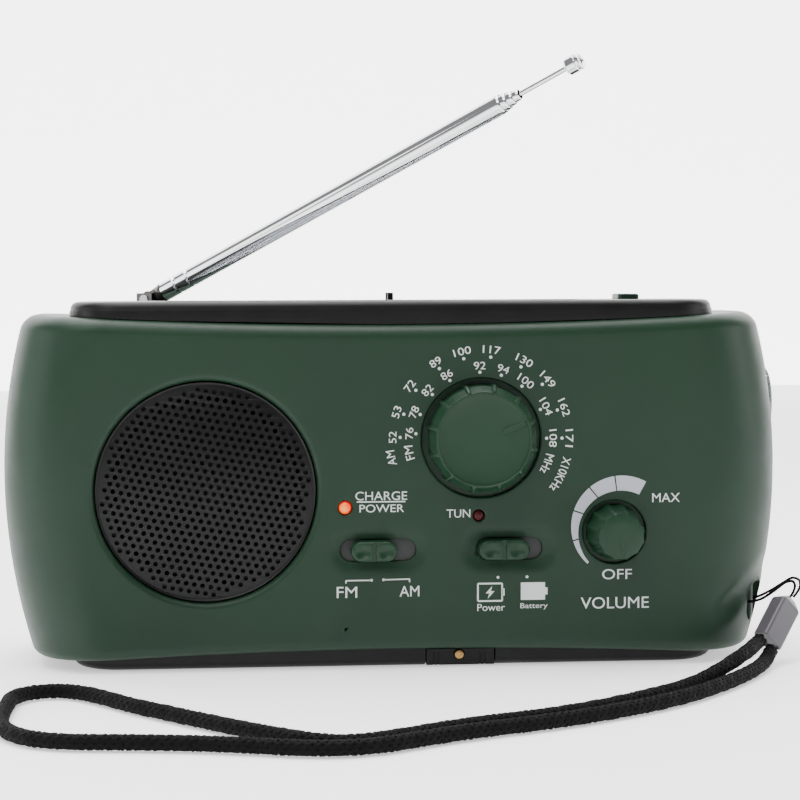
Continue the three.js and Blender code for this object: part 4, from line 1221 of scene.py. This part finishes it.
def solar_panel():
    """A row of dark cells crossed by thin silver fingers, under a clear window."""
    low, high = SOLAR_LOW, SOLAR_HIGH
    count = 8
    width = (high.x - low.x) / count
    cells = []
    fingers = []
    for i in range(count):
        x = low.x + width * i
        cells.append(box_skin((x + 0.25, low.y, low.z), (x + width - 0.25, high.y, high.z - 0.1)))
        for line in range(1, 4):
            along = x + width * line / 4
            fingers.append(box_skin((along - 0.08, low.y + 0.6, high.z - 0.12),
                                    (along + 0.08, high.y - 0.6, high.z - 0.02)))
        fingers.append(box_skin((x + 0.3, low.y + 0.6, high.z - 0.12),
                                (x + width - 0.3, low.y + 1.4, high.z - 0.02)))
    backing = box_skin((low.x, low.y, low.z - 0.2), (high.x, high.y, low.z + 0.1))
    piece("solar_cells", gathered(*cells), SOLAR_BLUE, replaces=["solar_cell"], sharp=30)
    piece("solar_backing", backing, BLACK, sharp=30)
    piece("solar_fingers", gathered(*fingers), SILVER_LINE, sharp=30)
    low, high = box_mm("solar_window")
    half_x = (high.x - low.x) / 2
    half_y = (high.y - low.y) / 2
    rings = [[Vector((p.x + (low.x + high.x) / 2, p.y + (low.y + high.y) / 2, z))
              for p in rounded_rectangle(half_x - inset, half_y - inset, 1)]
             for z, inset in ((low.z, 0), (high.z - 0.2, 0), (high.z, 0.2))]
    piece("solar_window_pane", loft(rings), CLEAR, replaces=["solar_window"], sharp=30)


def light_button():
    """A green button, dished along its length so that a fingertip settles on it."""
    centre = middle("light_button")
    half_x = (BUTTON_HIGH.x - BUTTON_LOW.x) / 2
    half_y = (BUTTON_HIGH.y - BUTTON_LOW.y) / 2
    top = BUTTON_HIGH.z
    rings = [[Vector((p.x + centre.x, p.y + centre.y, z))
              for p in rounded_rectangle(half_x - inset, half_y - inset, 0.9)]
             for z, inset in ((81, 0), (top - 0.4, 0), (top - 0.12, 0.1), (top, 0.38))]
    cap = mesh_object("light_button_cap", loft(rings), KNOB_GREEN)
    dish = bar((centre.x - 5, centre.y, top + 11.3), (centre.x + 5, centre.y, top + 11.3), 12, 96)
    stem = box_skin((centre.x - 2, centre.y - 1.6, 74.6), (centre.x + 2, centre.y + 1.6, 81.5))
    carve(cap, [dish])
    carve(cap, [stem], "UNION")
    piece("light_button_cap", cap, KNOB_GREEN, body="light_button",
          replaces=["light_button"], sharp=28)


def antenna_clip():
    low, high = box_mm("antenna_clip")
    clip = mesh_object("antenna_clip_cradle", box_skin(low, high), BLACK)
    channel = [(-2.5, 90), (-2.5, 82.9), (-2.2, 81.6), (-1.2, 80.7), (0, 80.5), (1.2, 80.7), (2.2, 81.6),
               (2.5, 82.9),
               (2.5, 90)]
    rings = [[Vector((x, PIVOT.y + y, z)) for y, z in channel] for x in (low.x - 3, high.x + 3)]
    carve(clip, [loft(rings)])
    piece("antenna_clip_cradle", clip, BLACK, replaces=["antenna_clip"], bevel=0.25,
          sharp=35)


# ---------- base and batteries ----------
BASE_HIGH = box_mm("base")[1]
BAY_WALL = 1.3
BAY_INSIDE_LOW = Vector((3, -17, -1))
BAY_INSIDE_HIGH = Vector((50, 17, 14.2))
DOOR_LOW, DOOR_HIGH = box_mm("battery_door")
DOOR_SCREW = middle("door_screw")
TAB = (6.4, 21.8)


def base():
    """The black base with a rounded lower edge, the battery bay's walls and the door tab's notch."""
    half_x = BASE_HIGH.x
    half_y = BASE_HIGH.y
    levels = [(0, 2.6), (0.12, 1.9), (0.35, 1.25), (0.75, 0.6), (1.3, 0.15), (1.9, 0)]
    rings = [plan(half_x - inset, -half_y + inset, half_y - inset, 10 - inset * 0.6, z)
             for z, inset in levels]
    rings.append(plan(half_x, -half_y, half_y, 10, lambda x: flared(x, BODY_BOTTOM) - 0.12))
    body = mesh_object("base_plate", loft(rings), BLACK)
    wall = Vector((BAY_WALL, BAY_WALL, 0))
    shaft_low = BAY_INSIDE_LOW - wall
    shaft_low.z = 0.4
    shaft_high = BAY_INSIDE_HIGH + wall
    shaft_high.z += 1.2
    carve(body, [box_skin(shaft_low, shaft_high)], "UNION")
    tab_way = box_skin((TAB[0] - 0.3, -40, -1), (TAB[1] + 0.3, -15, 1.9))
    tab_front = box_skin((TAB[0] - 0.3, -40, -1), (TAB[1] + 0.3, -22.2, 9))
    ribs = gathered(*[bar((x, -25.2, 1.8), (x, -25.2, 6), 0.75, 16)
                      for x in (-72.2, -70.4, -68.6, -66.8, -65)])
    carve(body, [box_skin(BAY_INSIDE_LOW, BAY_INSIDE_HIGH), tab_way, tab_front, ribs])
    piece("base_plate", body, BLACK, replaces=["base"], sharp=32)


def battery_door():
    """The door with its grooved tab, and the hole and counterbore for the screw that holds the tab."""
    plate = box_skin((DOOR_LOW.x, BAY_INSIDE_LOW.y + 0.3, 0.3), (DOOR_HIGH.x, DOOR_HIGH.y, 1.6))
    door = mesh_object("battery_door_plate", plate, BLACK)
    tongue = box_skin((TAB[0], DOOR_LOW.y, 0.3), (TAB[1], BAY_INSIDE_LOW.y + 1, 1.59))
    lip = box_skin((TAB[0], DOOR_LOW.y, 0.31), (TAB[1], -22.5, 3.9))
    carve(door, [tongue, lip], "UNION")
    screw_way = bar((DOOR_SCREW.x, -30, DOOR_SCREW.z), (DOOR_SCREW.x, -20, DOOR_SCREW.z), 0.8, 24)
    counterbore = bar((DOOR_SCREW.x, -30, DOOR_SCREW.z), (DOOR_SCREW.x, -23.6, DOOR_SCREW.z), 1.3, 32)
    grooves = [box_skin((x - 0.25, -26, 0), (x + 0.25, DOOR_LOW.y + 0.3, 3.3)) for x in (8, 9, 18.6, 19.6)]
    arrows = [box_skin((12 + i, -12, -1), (12.4 + i, -8, 0.55)) for i in range(4)]
    carve(door, [screw_way, counterbore, *grooves, *arrows])
    piece("battery_door_plate", door, BLACK, body="battery_door",
          replaces=["battery_door"], bevel=0.12, sharp=32)


def cross_head(radius, thickness, recess):
    """A domed screw head with a cross recess, its face towards +Z and its seat at 0."""
    profile = [[0, 0], [radius, 0], [radius, thickness * 0.45], [radius * 0.86, thickness * 0.82],
               [radius * 0.5, thickness], [0, thickness * 1.03]]
    head = mesh_object("screw_head", lathe(profile, 40), STEEL)
    low = thickness - recess
    arm = radius * 0.62
    width = radius * 0.15
    carve(head, [box_skin((-arm, -width, low), (arm, width, thickness + 1)),
                 box_skin((-width, -arm, low), (width, arm, thickness + 1))])
    geometry = ([v.co / MM for v in head.data.vertices], [tuple(p.vertices) for p in head.data.polygons])
    bpy.data.objects.remove(head)
    return geometry


def screws():
    """The door screw at the front, and the four cabinet screws in their wells at the back."""
    head = moved(cross_head(1.1, 0.7, 0.4), forwards(DOOR_SCREW.x, -24.3, DOOR_SCREW.z))
    thread = bar((DOOR_SCREW.x, -21.9, DOOR_SCREW.z), (DOOR_SCREW.x, -24.35, DOOR_SCREW.z), 0.65, 24)
    piece("door_screw_head", gathered(head, thread), BRASS, body="battery_door",
          replaces=["door_screw"], sharp=35)
    for i in range(1, 5):
        node = "cabinet_screw_" + str(i)
        low, high = box_mm(node)
        centre = (low + high) / 2
        head = moved(cross_head(2.7, 2, 1.1), pointing((0, 1, 0), (centre.x, high.y - 2, centre.z)))
        thread = bar((centre.x, low.y, centre.z), (centre.x, high.y - 1.9, centre.z), 1.3, 32)
        piece(node + "_head", gathered(head, thread), STEEL, replaces=[node], sharp=35)


def dry_cells():
    """Three wrapped cells with bare steel ends and a raised terminal."""
    for i, direction in ((1, 1), (2, -1), (3, 1)):
        node = "dry_cell_" + str(i)
        low, high = box_mm(node)
        centre = (low + high) / 2
        radius = (high.y - low.y) / 2
        half = (high.x - low.x) / 2
        place = pointing((direction, 0, 0), centre)
        wrap = [[0, -half + 0.3], [radius * 0.7, -half + 0.3], [radius * 0.72, -half], [radius - 0.4, -half],
                [radius, -half + 0.4], [radius, half - 2.2], [radius - 0.4, half - 1.9], [0, half - 1.9]]
        terminal = [[0, half - 2.2], [2.9, half - 2.2], [2.7, half - 1.8], [1.9, half - 1.6],
                    [1.8, half - 0.3],
                    [1.5, half], [0, half]]
        piece(node + "_wrap", moved(lathe(wrap, 48), place), WRAP, replaces=[node],
              sharp=35)
        piece(node + "_terminal", moved(lathe(terminal, 40), place), STEEL, sharp=35)


# ---------- antenna ----------
MAST_FRAME = (Matrix.Translation(PIVOT) @ Matrix.Rotation(AZIMUTH, 4, "Z") @ Matrix.Rotation(-ELEVATION,
                                                                                             4, "Y")
              @ pointing((1, 0, 0)))
SWIVEL_FRAME = Matrix.Translation(PIVOT) @ Matrix.Rotation(AZIMUTH, 4, "Z")
TUBES = [("antenna_tube_1", "antenna_mast", 2.35, 2.15, 5, 104.5),
         ("antenna_tube_2", "antenna_tube_2", 2.03, 1.8, 14, 106),
         ("antenna_tube_3", "antenna_tube_3", 1.68, 1.45, 18, 107.5),
         ("antenna_tube_4", "antenna_tube_4", 1.33, 1.1, 22, 109)]
CRIMPS = (9.3, 13.3)


def antenna_root():
    """The turning yoke with its pin, and the flattened knuckle of the mast."""
    disc = [[0, -6.8], [2.8, -6.8], [3, -6.6], [3, -4.1], [2.8, -3.85], [0, -3.85]]
    stub = [[0, -12.2], [1.5, -12.2], [1.5, -6.5], [0, -6.5]]
    fork = mesh_object("antenna_yoke", gathered(lathe(disc, 48), lathe(stub, 32)), DARK_STEEL)
    carve(fork, [box_skin((-2.2, -2.6, -4.3), (2.2, 2.6, 1.6))], "UNION")
    carve(fork, [box_skin((-4, -1.5, -3.4), (4, 1.5, 4)), bar((0, -5, 0), (0, 5, 0), 0.8, 24)])
    fork_skin = ([SWIVEL_FRAME @ (v.co / MM) for v in fork.data.vertices],
                 [tuple(p.vertices) for p in fork.data.polygons])
    bpy.data.objects.remove(fork)
    piece("antenna_yoke", fork_skin, DARK_STEEL, body="antenna_swivel",
          replaces=["antenna_swivel"], bevel=0.25, sharp=35)
    pin = lathe([[0, -2.9], [1.15, -2.9], [1.2, -2.75], [0.7, -2.6], [0.7, 2.6], [1.2, 2.75], [1.15, 2.9],
                 [0, 2.9]], 32)
    piece("antenna_pin_rivet", moved(pin, SWIVEL_FRAME @ pointing((0, 1, 0))), STEEL, body="antenna_swivel",
          replaces=["antenna_pin"], sharp=35)
    to_mast = MAST_FRAME @ pointing((1, 0, 0)).inverted()
    eye = moved(lathe([[0.8, -1.15], [1.95, -1.15], [2.1, -1], [2.1, 1], [1.95, 1.15], [0.8, 1.15]], 40,
                      closed=True),
                pointing((0, 1, 0)))
    neck = loft([[Vector((x, p.x, p.y)) for p in rounded_rectangle(half_y, half_z, radius, 5)]
                 for x, half_y, half_z, radius in ((1.2, 1.15, 1.7, 0.4), (2.6, 1.15, 1.8, 0.4),
                                                   (3.4, 1.6, 2.0, 1.2),
                                                   (4.0, 2.15, 2.25, 2.1), (4.7, 2.3, 2.32, 2.25))])
    core = moved(lathe([[0, 4.5], [2.0, 4.5], [2.0, 11], [0, 11]], 40), pointing((1, 0, 0)))
    piece("antenna_knuckle_neck", moved(gathered(eye, neck, core), to_mast), DARK_STEEL, body="antenna_mast",
          replaces=["antenna_knuckle"], sharp=35)


def tube_profile(r, bore, start, end, crimped):
    """A thin tube, rolled in at its far end, with two crimped grooves if it is the outermost."""
    points = [[bore, start], [r, start]]
    if crimped:
        for groove in CRIMPS:
            for step, depth in ((-0.45, 0), (-0.25, 0.16), (0, 0.24), (0.25, 0.16), (0.45, 0)):
                points.append([r - depth, groove + step])
    points += [[r, end - 2.0], [r - 0.05, end - 1.2], [r - 0.03, end - 0.5], [r - 0.12, end - 0.15],
               [r - 0.2, end],
               [bore, end]]
    if crimped:
        points += [[bore, CRIMPS[1] + 1], [r - 0.3, CRIMPS[1]], [r - 0.3, CRIMPS[0]]]
    return points


def antenna_mast():
    for name, body, r, bore, start, end in TUBES:
        crimped = name == "antenna_tube_1"
        geometry = moved(lathe(tube_profile(r, bore, start, end, crimped), 56, closed=True), MAST_FRAME)
        piece(name + "_sleeve", geometry, CHROME, body=body, replaces=[name], sharp=30)
    rod = [[0, 26], [1.0, 26], [1.0, 29], [0.6, 29.1], [0.6, 121.2], [1.5, 121.4], [1.75, 121.55],
           [2.0, 121.9],
           [2.0, 123.9], [1.75, 124.1], [1.75, 124.4], [2.0, 124.6], [2.0, 124.85], [1.85, 125.1],
           [1.3, 125.1],
           [1.15, 124.75], [0, 124.7]]
    piece("antenna_rod_tip", moved(lathe(rod, 48), MAST_FRAME), CHROME, body="antenna_rod",
          replaces=["antenna_rod"], sharp=30)


# ---------- crank ----------
HINGE = Vector((CRANK.x, 23.3, 17.5))
ARM_TOP = CRANK_FLOOR + 3.4
ARM_BACK = CRANK_FLOOR + 0.4


def crank():
    """The arm with its round hub and forked end, and the hinge pin for the handle."""
    reach = CRANK.z - HINGE.z
    rings = []
    for y, inset in ((ARM_BACK, 0), (ARM_TOP - 0.5, 0), (ARM_TOP - 0.15, 0.15), (ARM_TOP, 0.5)):
        outline = [Vector((p.y, p.x)) for p in obround(reach / 2, 5 - inset, 24)]
        rings.append([Vector((CRANK.x + p.x, y, CRANK.z - reach / 2 + p.y)) for p in outline])
    arm = mesh_object("crank_arm_lever", loft(rings), BLACK)
    hub = moved(lathe([[0, 0], [8.5, 0], [8.5, 2.4], [8.2, 2.85], [7.6, 3.0], [6.2, 3.0], [6.0, 2.7],
                       [0, 2.7]], 80),
                pointing((0, 1, 0), (CRANK.x, ARM_BACK, CRANK.z)))
    carve(arm, [hub], "UNION")
    ears = [box_skin((CRANK.x + side * 3.5 - 1.2, ARM_TOP - 1, HINGE.z - 2.6),
                     (CRANK.x + side * 3.5 + 1.2, HINGE.y + 2.4, HINGE.z + 2.6)) for side in (-1, 1)]
    carve(arm, ears, "UNION")
    way = bar((CRANK.x - 8, HINGE.y, HINGE.z), (CRANK.x + 8, HINGE.y, HINGE.z), 1.1, 24)
    bore = bar((CRANK.x, CRANK_FLOOR - 1, CRANK.z), (CRANK.x, ARM_TOP - 1.2, CRANK.z), 3.05, 32)
    carve(arm, [way, bore])
    piece("crank_arm_lever", arm, BLACK, body="crank", replaces=["crank_arm"],
          bevel=0.18, sharp=32)
    pin = lathe([[0, -4.6], [0.9, -4.6], [1, -4.5], [1, 4.5], [0.9, 4.6], [0, 4.6]], 32)
    piece("crank_pin_rod", moved(pin, pointing((1, 0, 0), HINGE)), STEEL, body="crank",
          replaces=["crank_pin"], sharp=35)


def crank_handle():
    boss = moved(lathe([[1.1, -2], [2.8, -2], [3, -1.8], [3, 1.8], [2.8, 2], [1.1, 2]], 40, closed=True),
                 pointing((1, 0, 0), HINGE))
    stem = moved(lathe([[0, 1.4], [1.6, 1.4], [1.6, 23.4], [2.6, 23.4], [2.6, 24.2], [2.2, 24.6],
                        [0, 24.6]], 40),
                 Matrix.Translation(HINGE))
    piece("crank_handle_stem", gathered(boss, stem), STEEL, body="crank_handle",
          replaces=["crank_handle"], sharp=35)
    profile = [(3.9, 3.5, 0), (4.2, 3.9, 0.1), (4.7, 4.1, 0.28), (22.2, 4.1, 0.28), (22.7, 3.9, 0.1),
               (23, 3.5, 0)]
    outer = [fluted_ring(r, z, depth, 16, 144) for z, r, depth in profile]
    inner = [[Vector((p.x, p.y, z)) for p in circle(1.7, 144)] for z in (23, 3.9)]
    skin = loft(outer + inner + [outer[0]], cap_start=False, cap_end=False)
    piece("crank_grip_sleeve", moved(skin, Matrix.Translation(HINGE)), KNOB_GREEN, body="crank_grip",
          replaces=["crank_grip"], sharp=35)


# ---------- right side ----------
def flashlight():
    """A silvered bowl behind a clear lens, and a white lamp in its middle."""
    place = pointing((1, 0, 0), (0, LENS.y, LENS.z))
    bowl = [[2.5, 76], [4, 76], [6.4, 78.6], [7.8, 82], [8.4, 86], [7.6, 86], [7.0, 82.2], [5.7, 79.2],
            [3.8, 77], [2.5, 76.9]]
    piece("light_bowl", moved(lathe(bowl, 72, closed=True), place), CHROME,
          replaces=["light_reflector"], sharp=40)
    lens = [[0, 86.4], [8.6, 86.4], [8.6, 89.0], [8.35, 89.4], [7.9, 89.5], [7.5, 89.35], [6, 89.75],
            [3, 90.05], [0, 90.1]]
    piece("light_lens_cap", moved(lathe(lens, 72), place), CLEAR,
          replaces=["light_lens"], sharp=35)
    led = [[0, 74], [2.4, 74], [2.4, 75], [1.9, 75.2], [1.9, 79.3], [1.7, 80.3], [1.1, 80.95], [0, 81.2]]
    piece("light_led_dome", moved(lathe(led, 40), place), WARM_WHITE,
          replaces=["light_led"], sharp=40)


def jack_flap():
    """A soft cover over the jacks, with upright grip ridges at its front end."""
    low, high = box_mm("jack_flap")
    stations = [(low.x, 0), (high.x - 0.45, 0), (high.x - 0.12, 0.12), (high.x, 0.42)]
    middle_y = (low.y + high.y) / 2
    middle_z = (low.z + high.z) / 2
    rings = [[Vector((x, middle_y + p.x, middle_z + p.y))
              for p in rounded_rectangle((high.y - low.y) / 2 - inset, (high.z - low.z) / 2 - inset,
                                         1.4 - inset)]
             for x, inset in stations]
    cover = mesh_object("jack_flap_cover", loft(rings), RUBBER)
    valleys = [bar((high.x + 0.1, low.y + 2 + 1.3 * i, low.z + 1.4),
                   (high.x + 0.1, low.y + 2 + 1.3 * i, high.z - 1.4), 0.42, 16)
               for i in range(5)]
    carve(cover, valleys)
    piece("jack_flap_cover", cover, RUBBER, body="jack_flap", replaces=["jack_flap"],
          sharp=35)


def inside_materials():
    """The working parts inside keep their CAD form and get their own materials."""
    materials = {
        "speaker_frame": BLACK, "speaker_cone": PAPER, "main_board": BOARD, "tuning_capacitor": NYLON,
        "volume_control": STEEL, "band_switch": STEEL, "source_switch": STEEL, "ferrite_rod": FERRITE,
        "ferrite_coil": COPPER, "drive_gear": NYLON, "idler_gear": NYLON, "dynamo_rotor": STEEL,
                 "dynamo": STEEL,
        "gear_bracket": STEEL, "rechargeable_pack": WRAP, "button_switch": BLACK, "jack_block": BLACK,
    }
    for name, material in materials.items():
        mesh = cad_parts[name].data
        mesh.materials.clear()
        mesh.materials.append(material)


top_cover()
solar_panel()
light_button()
antenna_clip()
base()
battery_door()
screws()
dry_cells()
antenna_root()
antenna_mast()
crank()
crank_handle()
flashlight()
jack_flap()
inside_materials()


# ---------- studio ----------
def glow_card(name, strength):
    """A plain white surface that gives a little light of its own."""
    nodes = Nodes(name)
    white = linear(250, 250, 250)
    nodes.join(nodes.ramp(nodes.noise(40, 2), white, white), nodes.shader.inputs["Base Color"])
    nodes.shader.inputs["Emission Color"].default_value = white
    nodes.shader.inputs["Emission Strength"].default_value = strength
    nodes.shader.inputs["Roughness"].default_value = 0.9
    return nodes.material


def studio():
    """A pale floor and a bright backdrop, with a broad soft light overhead and weaker ones in front."""
    world = bpy.data.worlds.new("studio")
    world.use_nodes = True
    world.node_tree.nodes["Background"].inputs["Color"].default_value = (1, 1, 1, 1)
    world.node_tree.nodes["Background"].inputs["Strength"].default_value = 0.32
    bpy.context.scene.world = world
    reach = 2400
    floor = mesh_object("floor", box_skin((-reach, -reach, -5), (reach, reach, -0.02)),
                        glow_card("floor_card", 0.7))
    backdrop = mesh_object("backdrop", box_skin((-reach, 1300, -1), (reach, 1310, 2400)),
                           glow_card("backdrop_card", 4.0))
    lights = [
        ("overhead", (-40, 40, 760), (0, 0, 40), 640, 11),
        ("key", (-260, -420, 520), (0, 0, 40), 380, 2.2),
        ("left_side", (-620, -120, 180), (-40, 0, 40), 300, 1.0),
        ("right_side", (620, -160, 200), (40, 0, 40), 300, 1.2),
    ]
    for name, place, target, size, power in lights:
        data = bpy.data.lights.new(name, "AREA")
        data.shape = "SQUARE"
        data.size = size * MM
        data.energy = power
        obj = bpy.data.objects.new(name, data)
        obj.location = Vector(place) * MM
        aim = Vector(target) - Vector(place)
        obj.rotation_euler = aim.to_track_quat("-Z", "Y").to_euler()
        bpy.context.scene.collection.objects.link(obj)


studio()
